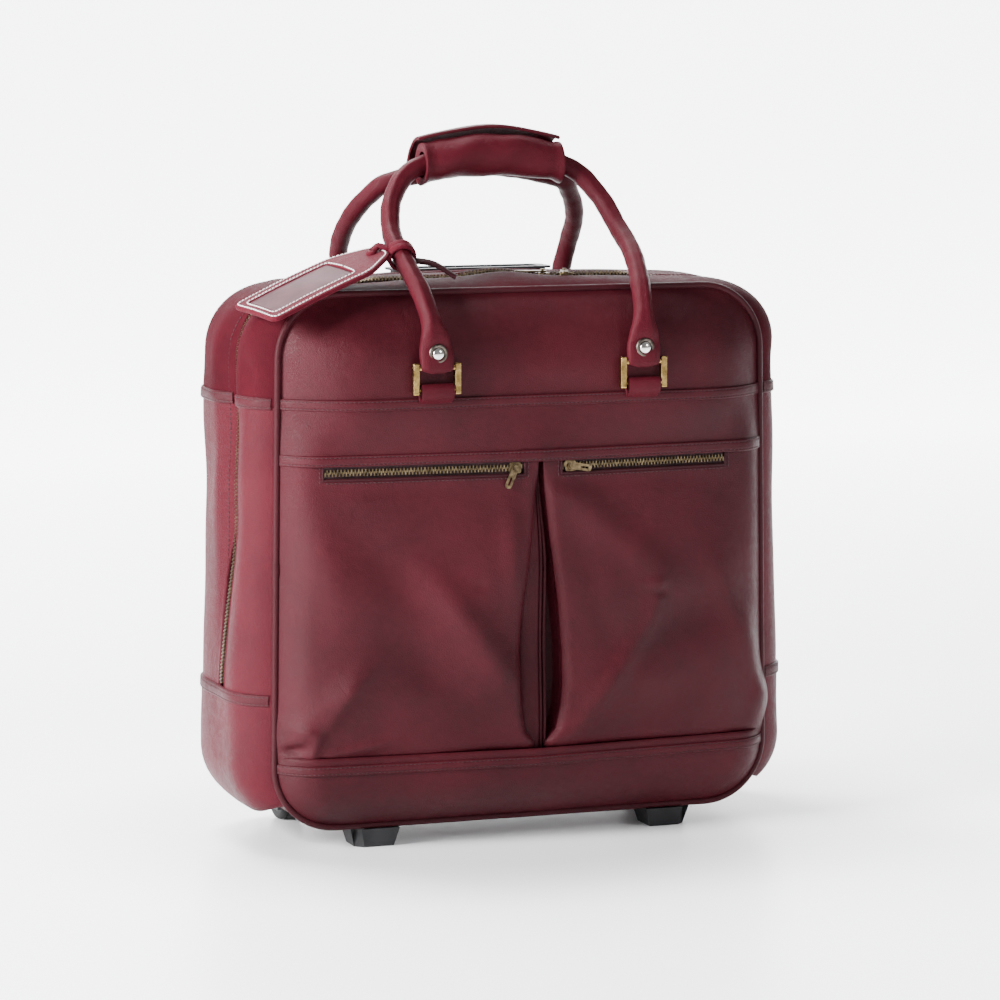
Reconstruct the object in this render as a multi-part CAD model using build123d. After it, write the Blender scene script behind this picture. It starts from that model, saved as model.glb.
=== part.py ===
from build123d import *
import os
from math import atan, cos, degrees, radians, sin

# Rolling flight case in soft leather: a zipped bag body on a flat base with two
# wheels and two feet, a stowed telescopic trolley, two carry handles and a tag.
# Frame: origin on the floor under the middle of the whole case, +X to the right
# seen from the front, +Y to the back, +Z up. Millimetres.

os.makedirs("parts", exist_ok=True)

# ---------------------------------------------------------------- driving dimensions
SEAM_WIDTH = 390.0        # left piping seam to right piping seam, at the top
SEAM_FLARE = 6.0          # how much wider each side is at the bottom
SEAM_LOW = 18.0           # bottom seam above the floor
SEAM_HIGH = 424.0         # top seam above the floor
SEAM_DEPTH = 144.0        # front piping to rear piping
MID_Y = 7.0               # plane halfway between the two piping seams
CORNER_R = 48.0           # corners of the front outline
LEATHER = 3.0             # leather, foam and backing together
GAP = 0.3                 # clearance between neighbouring bodies
HAIR = 0.2                # clearance between pieces sewn side by side

FRONT_Y = MID_Y - SEAM_DEPTH / 2
REAR_Y = MID_Y + SEAM_DEPTH / 2

# seams that run round the bag
UPPER_SEAM_Z = 343.0      # top panel to band, and gusset top to gusset side
BAND_SEAM_Z = 301.0       # band to pockets
POCKET_LOW_Z = 70.0       # pockets to bottom band
BASE_SEAM_Z = 117.0       # gusset sides to base boot

PIPING_R = 2.6
ZIP_Y = MID_Y - 18.0      # plane of the main zip round the gusset
ZIP_HALF = 5.0            # half of the gap that the main zip fills

# bulge of the gusset: distance behind the front piping, sideways, upwards
GUSSET_SHAPE = [(2.8, 3.0, 0.5), (12.0, 18.0, 4.0), (26.0, 25.0, 7.0), (72.0, 27.0, 9.0),
                (118.0, 25.0, 8.0), (132.0, 18.0, 4.0), (141.2, 3.0, 0.5)]
# pillow of the front and rear: distance out, inset of sides, top and bottom
FRONT_PILLOW = [(2.8, 0.0, 0.0, 0.0), (9.0, 5.0, 5.0, 2.0), (20.0, 17.0, 14.0, 6.0),
                (30.0, 45.0, 36.0, 16.0), (34.0, 92.0, 72.0, 40.0)]
# flatter board behind the pockets, which leaves room for what they hold
POCKET_BACK_PILLOW = [(2.8, 0.0, 0.0, 0.0), (8.0, 8.0, 8.0, 4.0), (20.0, 45.0, 36.0, 16.0)]
REAR_PILLOW = [(2.8, 0.0, 0.0, 0.0), (7.0, 10.0, 8.0, 4.0), (12.0, 45.0, 40.0, 30.0)]

# pockets
POCKET_TURN = 4.5         # each pocket turns back from the middle, degrees
POCKET_TOP_OUT = 36.0     # pocket face in front of the piping at its top edge
POCKET_BELLY = 8.0        # how much further the belly of the pocket stands out
POCKET_SKIN = 2.0
PLEAT_HALF = 5.0          # half of the pleat between the pockets

# pocket zips
POCKET_ZIP_Z = 292.0
LEFT_ZIP_X = (-168.0, -12.0)
RIGHT_ZIP_X = (18.0, 158.0)
ZIP_SLOT_H = 10.4
TEETH_H = 4.6
TEETH_T = 1.6
TAPE_T = 0.7
SLIDER_L = 9.0
SLIDER_H = 8.4

# wheels
WHEEL_R = 25.0
WHEEL_X = 152.0
WHEEL_Y = REAR_Y - 15.0
WHEEL_W = 19.0
AXLE_R = 3.0
HOUSING_W = 33.0
HOUSING_WALL = 2.4

# feet
FOOT_X = 121.0
FOOT_FRONT_Y = FRONT_Y - 4.0
FOOT_DEPTH = 32.0

# trolley
TROLLEY_Y = MID_Y + 54.0
TUBE_X = 40.0
STAGE_TRAVEL = 300.0
GRIP_HALF = 55.0
GRIP_DEPTH = 17.0
GRIP_TOP_Z = 431.0
TUBE_SIZES = [(19.0, 14.0), (16.0, 11.0), (13.0, 8.0)]
TUBE_WALL = 1.1

# carry handles
HANDLE_R = 7.5
RING_X = 83.5
RING_LOW_Z = 354.0
RING_HIGH_Z = 370.0
RING_BAR_R = 2.0
RING_WIDTH = 38.0
RING_SIDE_W = 5.0
TAB_W = 26.0
FRONT_PANEL_Y = FRONT_Y - 34.0
FRONT_RING_Y = FRONT_PANEL_Y - 5.0
REAR_RING_Y = REAR_Y + 12.0 + 7.5
WRAP_R = 15.5


def save(shape, node):
    """Write one sub-part to its own STEP file."""
    export_step(shape, f"parts/{node}.step")


def box(x, y, z):
    """Box between two limits on each axis."""
    size = (x[1] - x[0], y[1] - y[0], z[1] - z[0])
    centre = ((x[0] + x[1]) / 2, (y[0] + y[1]) / 2, (z[0] + z[1]) / 2)
    return Pos(*centre) * Box(*size)


def mirror_x(shape):
    """The same shape on the other side of the case."""
    return mirror(shape, about=Plane.YZ)


def bar_x(radius, x0, x1, y, z):
    """Round bar along X."""
    return Pos((x0 + x1) / 2, y, z) * Rot(0, 90, 0) * Cylinder(radius, x1 - x0)


def bar_y(radius, y0, y1, x, z):
    """Round bar along Y."""
    return Pos(x, (y0 + y1) / 2, z) * Rot(90, 0, 0) * Cylinder(radius, y1 - y0)


def bar_z(radius, z0, z1, x, y):
    """Round bar along Z."""
    return Pos(x, y, (z0 + z1) / 2) * Cylinder(radius, z1 - z0)


def outline(y, side=0.0, top=0.0, bottom=0.0, radius=CORNER_R):
    """Rounded front outline of the bag at depth y, grown by the given amounts."""
    high_half = SEAM_WIDTH / 2 + side
    low_half = high_half + SEAM_FLARE
    low = SEAM_LOW - bottom
    high = SEAM_HIGH + top
    corners = [(-low_half, low), (low_half, low), (high_half, high), (-high_half, high)]
    face = fillet(make_face(Polyline(*corners, close=True)).vertices(), radius)
    return Plane(origin=(0, y, 0), x_dir=(1, 0, 0), z_dir=(0, -1, 0)) * face


def gusset_solid(shrink=0.0):
    """Full body of the bag between the two piping seams."""
    rows = [outline(FRONT_Y + back, side - shrink, top - shrink, -shrink, CORNER_R + 0.6 * side - shrink)
            for back, side, top in GUSSET_SHAPE]
    return loft(rows, ruled=True)


def pillow_solid(shape, face_y, direction):
    """Cushion-like swelling of the front (direction -1) or rear (+1)."""
    rows = [outline(face_y + direction * out, -side, -top, -bottom)
            for out, side, top, bottom in shape]
    return loft(rows, ruled=True)


def slab(z0, z1):
    """Everything between two heights."""
    return box((-400, 400), (-400, 400), (z0, z1))


# ---------------------------------------------------------------- wheel space
def housing_space(grow):
    """Room that one wheel housing takes out of the bag's rear bottom corner."""
    half = HOUSING_W / 2 + grow
    space = box((WHEEL_X - half, WHEEL_X + half),
                (WHEEL_Y - WHEEL_R - 6 - grow, REAR_Y + 60),
                (-10, WHEEL_R * 2 + 7 + grow))
    ends = bar_x(6.0, WHEEL_X - half - 4.5, WHEEL_X + half + 3.5, WHEEL_Y, WHEEL_R)
    return space + ends


HOUSING_CUT = housing_space(HAIR) + mirror_x(housing_space(HAIR))

# ---------------------------------------------------------------- bag body
body_outer = gusset_solid()
body_shell = body_outer - gusset_solid(LEATHER + 1.0)
front_half = box((-400, 400), (FRONT_Y - 1, ZIP_Y - ZIP_HALF), (-10, 600))
rear_half = box((-400, 400), (ZIP_Y + ZIP_HALF, REAR_Y + 1), (-10, 600))
sides = slab(BASE_SEAM_Z + HAIR, UPPER_SEAM_Z - HAIR)
crown = slab(UPPER_SEAM_Z, 600)

BEZEL_HALF = (62.0, 13.0)
bezel_cut = box((-BEZEL_HALF[0] - HAIR, BEZEL_HALF[0] + HAIR),
                (TROLLEY_Y - BEZEL_HALF[1] - HAIR, TROLLEY_Y + BEZEL_HALF[1] + HAIR), (400, 460))

TOP_ZIP_Y = MID_Y + 22.0
TOP_ZIP_HALF_LENGTH = 105.0
top_zip_cut = box((-TOP_ZIP_HALF_LENGTH, TOP_ZIP_HALF_LENGTH),
                  (TOP_ZIP_Y - 4, TOP_ZIP_Y + 4), (405, 460))

save(body_shell & front_half & crown, "top_gusset_front")
save((body_shell & rear_half & crown) - bezel_cut - top_zip_cut, "top_gusset_rear")
side_walls = (body_shell & front_half & sides).solids() + (body_shell & rear_half & sides).solids()
save(Compound(side_walls), "side_gussets")
save((body_shell & slab(-10, BASE_SEAM_Z)) - HOUSING_CUT, "base_boot")


def swept_ring(y, radius):
    """Round cord sewn into the seam all the way round the outline."""
    path = outline(y).face().outer_wire()
    section = Plane(origin=path @ 0, z_dir=path % 0) * Circle(radius)
    return sweep(section, path=path)


rear_cord = (swept_ring(REAR_Y, PIPING_R) - HOUSING_CUT).solids()
save(Compound(swept_ring(FRONT_Y, PIPING_R).solids() + rear_cord), "piping")

# front skin, in four horizontal pieces
front_pillow = pillow_solid(FRONT_PILLOW, FRONT_Y, -1)
front_skin = front_pillow - Pos(0, LEATHER, 0) * front_pillow
save(front_skin & slab(UPPER_SEAM_Z + HAIR, 600), "front_upper_panel")
save(front_skin & slab(BAND_SEAM_Z + HAIR, UPPER_SEAM_Z), "front_band")
pocket_back = pillow_solid(POCKET_BACK_PILLOW, FRONT_Y, -1)
pocket_back_skin = pocket_back - Pos(0, LEATHER, 0) * pocket_back
save(pocket_back_skin & slab(POCKET_LOW_Z + HAIR, BAND_SEAM_Z), "pocket_back_panel")
save(front_skin & slab(-10, POCKET_LOW_Z), "front_lower_band")

# rear skin
rear_pillow = pillow_solid(REAR_PILLOW, REAR_Y, 1)
save((rear_pillow - Pos(0, -LEATHER, 0) * rear_pillow) - HOUSING_CUT, "rear_panel")


# ---------------------------------------------------------------- main zip
def main_zip_ring(inner, outer, half):
    """Part of the closed zip: a thin ring in the gap of the gusset, above the base boot."""
    ring = gusset_solid(inner) - gusset_solid(outer)
    band = box((-400, 400), (ZIP_Y - half, ZIP_Y + half), (BASE_SEAM_Z + HAIR, 600))
    return ring & band


top_zip_z = SEAM_HIGH + 8.5
top_tape = box((-TOP_ZIP_HALF_LENGTH + HAIR, TOP_ZIP_HALF_LENGTH - HAIR),
               (TOP_ZIP_Y - 4 + HAIR, TOP_ZIP_Y + 4 - HAIR), (top_zip_z - 3.6, top_zip_z - 2.6))
top_teeth = box((-TOP_ZIP_HALF_LENGTH + 2, TOP_ZIP_HALF_LENGTH - 2),
                (TOP_ZIP_Y - TEETH_H / 2, TOP_ZIP_Y + TEETH_H / 2), (top_zip_z - 2.5, top_zip_z - 1.0))
save(Compound(main_zip_ring(2.3, 3.3, ZIP_HALF - HAIR).solids() + top_tape.solids()), "body_zip_tapes")
save(Compound(main_zip_ring(0.2, 1.7, TEETH_H / 2).solids() + top_teeth.solids()), "body_zip_teeth")


SLIDER_WALL = 0.9
POST_R = 1.0
POST_LENGTH = 2.4
PULL_T = 1.2


def slider_body(length, height, chain_h, chain_t):
    """Zip slider in its own frame: X along the zip, Z across it, front towards -Y.

    The chain runs through its channel, whose back is open for the tape. A headed
    post on its front carries the pull."""
    front = -chain_t - GAP - SLIDER_WALL
    body = box((-length / 2, length / 2), (front, 0), (-height / 2, height / 2))
    body = fillet(body.edges().filter_by(Axis.Y), 1.6)
    body -= box((-length, length), (-chain_t - GAP, 1), (-chain_h / 2 - GAP, chain_h / 2 + GAP))
    body += bar_y(POST_R, front - POST_LENGTH, front + 0.3, 0, 0)
    body += bar_y(1.8, front - POST_LENGTH - 0.7, front - POST_LENGTH, 0, 0)
    return body


def pull_depth(chain_t):
    """Middle of the pull's thickness in front of the slider's back face."""
    return -chain_t - GAP - SLIDER_WALL - POST_LENGTH / 2


def pull_tab(length, width):
    """Zip pull: a flat tab with an eye round the slider's post, hanging along -Z."""
    tab = box((-width / 2, width / 2), (-PULL_T / 2, PULL_T / 2), (-length, width / 2))
    tab = fillet(tab.edges().filter_by(Axis.Y), width / 2 - 0.2)
    slot = box((-0.8, 0.8), (-2, 2), (-length + 2.5, -length + 9.0))
    return tab - slot - bar_y(POST_R + 0.08, -2, 2, 0, 0)


# ---------------------------------------------------------------- pockets
def pocket_frame(side):
    """Turn from a pocket's own straight frame to its place on the crowned front."""
    pivot_y = FRONT_Y - POCKET_TOP_OUT
    return Pos(0, pivot_y, 0) * Rot(0, 0, side * POCKET_TURN)


def pocket_block(side, inner=0.0):
    """Closed body of one pocket; inner shrinks it to the space inside."""
    far = 190.0 - inner
    near = PLEAT_HALF + inner
    low = POCKET_LOW_Z + HAIR + inner
    high = BAND_SEAM_Z - HAIR - inner
    rows = []
    for out, inset_near, inset_far, inset_top, inset_low in (
            (-30.0, 0.0, 0.0, 0.0, 0.0), (-8.0, 0.0, 1.0, 0.0, 0.0), (0.0, 2.0, 10.0, 0.5, 9.0),
            (POCKET_BELLY, 22.0, 50.0, 62.0, 40.0)):
        x = sorted((side * (near + inset_near), side * (far - inset_far)))
        z0 = low + inset_low
        z1 = high - inset_top
        plane = Plane(origin=((x[0] + x[1]) / 2, -out + inner, (z0 + z1) / 2),
                      x_dir=(1, 0, 0), z_dir=(0, -1, 0))
        rows.append(plane * RectangleRounded(x[1] - x[0], z1 - z0, 14.0 - inner))
    return loft(rows, ruled=True)


# the pocket face near the zip leans forward a little as it goes down
FACE_LEAN = POCKET_BELLY / 61.5


def zip_face_y():
    """Depth of the pocket face at the zip, in the pocket's own frame."""
    return -(BAND_SEAM_Z - HAIR - 0.5 - POCKET_ZIP_Z) * FACE_LEAN


def make_pocket(side, zip_x, name, slider_x):
    """Pocket with its zip; returns the place of the zip pull's eye."""
    frame = pocket_frame(side)
    window = box(zip_x, (-20, 12), (POCKET_ZIP_Z - ZIP_SLOT_H / 2, POCKET_ZIP_Z + ZIP_SLOT_H / 2))
    skin = pocket_block(side) - pocket_block(side, POCKET_SKIN) - window
    front_clear = Pos(0, -HAIR, 0) * pocket_back
    pocket = frame * skin - front_clear
    save(pocket, f"{name}_pocket")

    lean = -degrees(atan(FACE_LEAN))
    back_y = POCKET_SKIN + 0.8
    zip_place = frame * Pos(0, zip_face_y(), POCKET_ZIP_Z) * Rot(lean, 0, 0) * Pos(0, back_y, 0)
    tape = box((zip_x[0] - 3, zip_x[1] + 3), (HAIR / 2, HAIR / 2 + TAPE_T), (-6.4, 6.0))
    tape = zip_place * tape - front_clear - pocket
    teeth = box((zip_x[0] + 1, zip_x[1] - 1), (-TEETH_T, 0), (-TEETH_H / 2, TEETH_H / 2))
    teeth = zip_place * teeth

    place = zip_place * Pos(slider_x, 0, 0)
    save(place * slider_body(SLIDER_L, SLIDER_H, TEETH_H, TEETH_T), f"{name}_pocket_slider")
    return place * Pos(0, pull_depth(TEETH_T), 0), tape, teeth


left_pin, left_tape, left_teeth = make_pocket(-1, LEFT_ZIP_X, "left", LEFT_ZIP_X[1] - 7.5)
right_pin, right_tape, right_teeth = make_pocket(1, RIGHT_ZIP_X, "right", RIGHT_ZIP_X[0] + 7.5)
save(Compound(left_tape.solids() + right_tape.solids()), "pocket_zip_tapes")
save(Compound(left_teeth.solids() + right_teeth.solids()), "pocket_zip_teeth")
print("pocket pull eyes", left_pin.position, right_pin.position)
print("pocket pull axes", (left_pin * Pos(0, 1, 0)).position - left_pin.position,
      (right_pin * Pos(0, 1, 0)).position - right_pin.position)

ZIP_PULL = pull_tab(17.0, 5.2)
for pin, name, lean in ((left_pin, "left", 25.0), (right_pin, "right", -80.0)):
    save(pin * Rot(0, lean, 0) * ZIP_PULL, f"{name}_pocket_pull")

# pleat between the pockets: a folded strip that closes the gap
pleat = box((-PLEAT_HALF + 2.0, PLEAT_HALF - 2.0), (FRONT_Y - 37.0, FRONT_Y - 20.0 - HAIR),
            (POCKET_LOW_Z + 1.0, BAND_SEAM_Z - 1.0))
save(pleat, "pleat_gusset")

# ---------------------------------------------------------------- main zip sliders on the top
MAIN_TEETH_LOW = SEAM_HIGH + 6.45
MAIN_SLIDER_X = {"left": 36.0, "right": 54.0}
for name, lean in (("left", 100.0), ("right", 20.0)):
    place = Pos(MAIN_SLIDER_X[name], ZIP_Y, MAIN_TEETH_LOW) * Rot(-90, 0, 0)
    save(place * slider_body(10.0, 9.2, TEETH_H, 1.6), f"main_slider_{name}")
    pull = Pos(0, pull_depth(1.6), 0) * Rot(0, lean, 0) * pull_tab(24.0, 6.0)
    save(place * pull, f"main_pull_{name}")


# ---------------------------------------------------------------- base, feet and wheels
BOARD_Z = (SEAM_LOW + 4.3, SEAM_LOW + 7.8)
board = box((-158, 158), (FRONT_Y + 14, REAR_Y - 14), BOARD_Z)
board = fillet(board.edges().filter_by(Axis.Z), 12)
save(board - HOUSING_CUT, "base_board")


def foot(x):
    """Tapered block with a chamfered outer corner on a thin plate under the base."""
    top_half = 19.0
    low_half = 15.0
    back = FOOT_FRONT_Y + FOOT_DEPTH
    low = Pos(x, (FOOT_FRONT_Y + 3 + back - 3) / 2, 0.0) * Rectangle(2 * low_half, FOOT_DEPTH - 6)
    high = Pos(x, (FOOT_FRONT_Y + back) / 2, SEAM_LOW - 3.4) * Rectangle(2 * top_half, FOOT_DEPTH)
    block = loft([low, high], ruled=True)
    corner = Pos(x - low_half, FOOT_FRONT_Y + 3, 7) * Rot(0, 0, 45) * Box(9, 9, 16)
    plate = box((x - 24, x + 26), (FRONT_Y + 3.4, back + 6), (SEAM_LOW - 3.8, SEAM_LOW - HAIR))
    sockets = [bar_z(2.6, -1, 9, x, FOOT_FRONT_Y + 10), bar_z(2.6, -1, 9, x, back - 8)]
    shanks = [bar_z(1.7, 8, 40, x, FOOT_FRONT_Y + 10), bar_z(1.7, 8, 40, x, back - 8)]
    return block - corner + plate - sockets - shanks


def foot_screws(x):
    """Pan-head screws up through the foot."""
    screws = []
    for y in (FOOT_FRONT_Y + 10, FOOT_FRONT_Y + FOOT_DEPTH - 8):
        head = bar_z(2.4, 5.5, 8.95, x, y) - bar_z(0.9, 5.0, 7.0, x, y)
        screws.append(head + bar_z(1.6, 8.9, SEAM_LOW - 0.5, x, y))
    return screws


save(Compound(foot(-FOOT_X).solids() + mirror_x(foot(-FOOT_X)).solids()), "feet")
save(Compound(foot_screws(-FOOT_X) + foot_screws(FOOT_X)), "foot_screws")


def wheel_housing():
    """Moulded cup round the wheel, open below and behind, with bosses for the axle."""
    outside = box((WHEEL_X - HOUSING_W / 2, WHEEL_X + HOUSING_W / 2),
                  (WHEEL_Y - WHEEL_R - 6, REAR_Y + 11), (12.0, WHEEL_R * 2 + 7))
    outside = fillet(outside.edges().filter_by(Axis.X), 5)
    half = HOUSING_W / 2 - HOUSING_WALL
    inside = box((WHEEL_X - half, WHEEL_X + half),
                 (WHEEL_Y - WHEEL_R - 6 + HOUSING_WALL, REAR_Y + 40),
                 (-5, WHEEL_R * 2 + 7 - HOUSING_WALL))
    bosses = bar_x(6.5, WHEEL_X - half - 0.1, WHEEL_X - WHEEL_W / 2 - 0.8, WHEEL_Y, WHEEL_R)
    bosses += bar_x(6.5, WHEEL_X + WHEEL_W / 2 + 0.8, WHEEL_X + half + 0.1, WHEEL_Y, WHEEL_R)
    hole = bar_x(AXLE_R, WHEEL_X - 40, WHEEL_X + 40, WHEEL_Y, WHEEL_R)
    return outside - inside + bosses - hole


def tyre():
    """Rubber tread with rounded shoulders and two grooves."""
    ring = bar_x(WHEEL_R, WHEEL_X - WHEEL_W / 2, WHEEL_X + WHEEL_W / 2, WHEEL_Y, WHEEL_R)
    ring = fillet(ring.edges().filter_by(GeomType.CIRCLE), 3.5)
    ring -= bar_x(WHEEL_R - 6.5, WHEEL_X - 30, WHEEL_X + 30, WHEEL_Y, WHEEL_R)
    for offset in (-4.0, 4.0):
        groove = bar_x(WHEEL_R + 2, WHEEL_X + offset - 0.6, WHEEL_X + offset + 0.6, WHEEL_Y, WHEEL_R)
        ring -= groove - bar_x(WHEEL_R - 1.0, WHEEL_X - 30, WHEEL_X + 30, WHEEL_Y, WHEEL_R)
    return ring


BUSH_R = 8.0


def hub():
    """Moulded hub: rim, web with five holes and a bore for the bush."""
    rim_r = WHEEL_R - 6.5
    half = WHEEL_W / 2 - 0.6
    body = bar_x(rim_r, WHEEL_X - half, WHEEL_X + half, WHEEL_Y, WHEEL_R)
    for side in (-1, 1):
        inner = WHEEL_X + side * 2.5
        outer = WHEEL_X + side * (half + 1)
        lo, hi = sorted((inner, outer))
        dish = bar_x(rim_r - 3.0, lo, hi, WHEEL_Y, WHEEL_R) - bar_x(11.0, lo, hi, WHEEL_Y, WHEEL_R)
        body -= dish
    for index in range(5):
        angle = radians(72 * index)
        y = WHEEL_Y + 13.2 * cos(angle)
        z = WHEEL_R + 13.2 * sin(angle)
        body -= bar_x(1.6, WHEEL_X - 20, WHEEL_X + 20, y, z)
    return body - bar_x(BUSH_R, WHEEL_X - 20, WHEEL_X + 20, WHEEL_Y, WHEEL_R)


def wheel_bush():
    """Plain bush pressed into the hub."""
    half = WHEEL_W / 2 - 0.6
    bush = bar_x(BUSH_R, WHEEL_X - half, WHEEL_X + half, WHEEL_Y, WHEEL_R)
    return bush - bar_x(AXLE_R + 0.06, WHEEL_X - 20, WHEEL_X + 20, WHEEL_Y, WHEEL_R)


def axle():
    """Headed steel pin through the housing, with a push-on cap at its inner end."""
    out = HOUSING_W / 2
    pin = bar_x(AXLE_R, WHEEL_X - out - 3.0, WHEEL_X + out + 0.2, WHEEL_Y, WHEEL_R)
    head = bar_x(5.0, WHEEL_X + out + 0.1, WHEEL_X + out + 2.2, WHEEL_Y, WHEEL_R)
    return pin + fillet(head.edges().filter_by(GeomType.CIRCLE), 0.8)


def axle_cap():
    """Push-on cap that keeps the pin in."""
    out = HOUSING_W / 2
    cap = bar_x(5.0, WHEEL_X - out - 3.6, WHEEL_X - out - 0.1, WHEEL_Y, WHEEL_R)
    return cap - bar_x(AXLE_R, WHEEL_X - out - 3.0, WHEEL_X - out + 5, WHEEL_Y, WHEEL_R)


for name, shape in (("tyre", tyre()), ("wheel_hub", hub()), ("wheel_bush", wheel_bush())):
    save(shape, f"{name}_right")
    save(mirror_x(shape), f"{name}_left")
for name, shape in (("wheel_housings", wheel_housing()), ("wheel_axles", axle()), ("axle_caps", axle_cap())):
    save(Compound(shape.solids() + mirror_x(shape).solids()), name)

# ---------------------------------------------------------------- trolley
BEZEL_TOP = SEAM_HIGH + 10.6


def rect_tube(stage, x, z0, z1):
    """Rounded rectangular tube, upright."""
    width, depth = TUBE_SIZES[stage]
    place = Pos(x, TROLLEY_Y, z0)
    solid = extrude(place * RectangleRounded(width, depth, 2.5), z1 - z0)
    bore = extrude(place * RectangleRounded(width - 2 * TUBE_WALL, depth - 2 * TUBE_WALL, 1.4), z1 - z0)
    return solid - bore


OUTER_Z = (BOARD_Z[1] + 6.0, 396.0)
MID_Z = (OUTER_Z[0] + 8.0, 399.0)
INNER_Z = (MID_Z[0] + 8.0, 412.0)
for node, stage, (z0, z1) in (("trolley_outer_tubes", 0, OUTER_Z), ("trolley_mid_tubes", 1, MID_Z),
                              ("trolley_inner_tubes", 2, INNER_Z)):
    save(Compound([rect_tube(stage, -TUBE_X, z0, z1), rect_tube(stage, TUBE_X, z0, z1)]), node)

bracket = box((-TUBE_X - 20, TUBE_X + 20), (TROLLEY_Y - 12, TROLLEY_Y + 12), (BOARD_Z[1] + HAIR, OUTER_Z[0] + 16))
for x in (-TUBE_X, TUBE_X):
    width, depth = TUBE_SIZES[0]
    bracket -= box((x - width / 2, x + width / 2), (TROLLEY_Y - depth / 2, TROLLEY_Y + depth / 2),
                   (OUTER_Z[0], OUTER_Z[0] + 40))
bracket -= box((-TUBE_X + 14, TUBE_X - 14), (TROLLEY_Y - 9, TROLLEY_Y + 20), (OUTER_Z[0] - 2, 80))
save(fillet(bracket.edges().filter_by(Axis.Z).group_by(Axis.X)[0], 3), "trolley_foot_bracket")

# recessed tray in the top: the grip sits in it when the trolley is down
tray = box((-BEZEL_HALF[0], BEZEL_HALF[0]), (TROLLEY_Y - BEZEL_HALF[1], TROLLEY_Y + BEZEL_HALF[1]),
           (400.0, BEZEL_TOP))
tray = fillet(tray.edges().filter_by(Axis.Z), 5)
flange = box((-BEZEL_HALF[0] - 4, BEZEL_HALF[0] + 4),
             (TROLLEY_Y - BEZEL_HALF[1] - 3, TROLLEY_Y + BEZEL_HALF[1] + 3), (BEZEL_TOP - 1.6, BEZEL_TOP))
flange = fillet(flange.edges().filter_by(Axis.Z), 7)
well = box((-GRIP_HALF - 2, GRIP_HALF + 2), (TROLLEY_Y - GRIP_DEPTH / 2 - 1.2, TROLLEY_Y + GRIP_DEPTH / 2 + 1.2),
           (403.0, 500))
well = fillet(well.edges().filter_by(Axis.Z), 4)
tray = tray + flange - well
for x in (-TUBE_X, TUBE_X):
    tray -= box((x - 8.4, x + 8.4), (TROLLEY_Y - 5.9, TROLLEY_Y + 5.9), (380, 460))
save(tray, "trolley_tray")

grip = box((-GRIP_HALF, GRIP_HALF), (TROLLEY_Y - GRIP_DEPTH / 2, TROLLEY_Y + GRIP_DEPTH / 2),
           (412.0 + HAIR, GRIP_TOP_Z))
grip = fillet(grip.edges().filter_by(Axis.Y).group_by(Axis.Z)[-1], 7)
grip = fillet(grip.edges().filter_by(Axis.X).group_by(Axis.Z)[-1], 4)
button_well = box((-14.3, 14.3), (TROLLEY_Y - 4.8, TROLLEY_Y + 4.8), (415.0, 460))
save(grip - button_well, "trolley_grip")
button = box((-14, 14), (TROLLEY_Y - 4.5, TROLLEY_Y + 4.5), (424.0, GRIP_TOP_Z + 2.0))
save(fillet(button.edges().group_by(Axis.Z)[-1], 1.5), "trolley_button")
SPRING_Z = (415.2, 423.8)
coil = Helix(pitch=2.1, height=SPRING_Z[1] - SPRING_Z[0] - 0.8, radius=3.0)
coil_path = Pos(0, TROLLEY_Y, SPRING_Z[0] + 0.4) * coil
coil_section = Plane(origin=coil_path @ 0, z_dir=coil_path % 0) * Circle(0.35)
save(sweep(coil_section, path=coil_path, is_frenet=True), "button_spring")

# ---------------------------------------------------------------- carry handles


def ring(y):
    """Rectangular flat-sided ring with round bars at the top and bottom."""
    inner = RING_WIDTH / 2 - RING_SIDE_W
    out = []
    for x in (-RING_X, RING_X):
        shape = bar_x(RING_BAR_R, x - inner - 0.5, x + inner + 0.5, y, RING_LOW_Z)
        shape += bar_x(RING_BAR_R, x - inner - 0.5, x + inner + 0.5, y, RING_HIGH_Z)
        for side in (-1, 1):
            lo, hi = sorted((x + side * inner, x + side * RING_WIDTH / 2))
            bar = box((lo, hi), (y - 2.4, y + 2.4), (RING_LOW_Z - 4, RING_HIGH_Z + 4))
            shape += fillet(bar.edges(), 1.0)
        out.append(shape)
    return Compound(out)


def ring_tabs(y, back_y):
    """Leather loops sewn to the panel, each round the lower bar of its ring."""
    tabs = []
    lo, hi = sorted((y, back_y))
    for x in (-RING_X, RING_X):
        loop = bar_x(4.2, x - TAB_W / 2, x + TAB_W / 2, y, RING_LOW_Z)
        loop += box((x - TAB_W / 2, x + TAB_W / 2), (lo, hi), (RING_LOW_Z - 9.5, RING_LOW_Z + 4.2))
        foot_y = sorted((back_y, y + (y - back_y) * 0.3))
        loop += box((x - TAB_W / 2, x + TAB_W / 2), foot_y, (RING_LOW_Z - 10.5, RING_LOW_Z))
        tabs.append(loop - bar_x(RING_BAR_R + 0.08, x - 40, x + 40, y, RING_LOW_Z))
    return tabs


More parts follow.
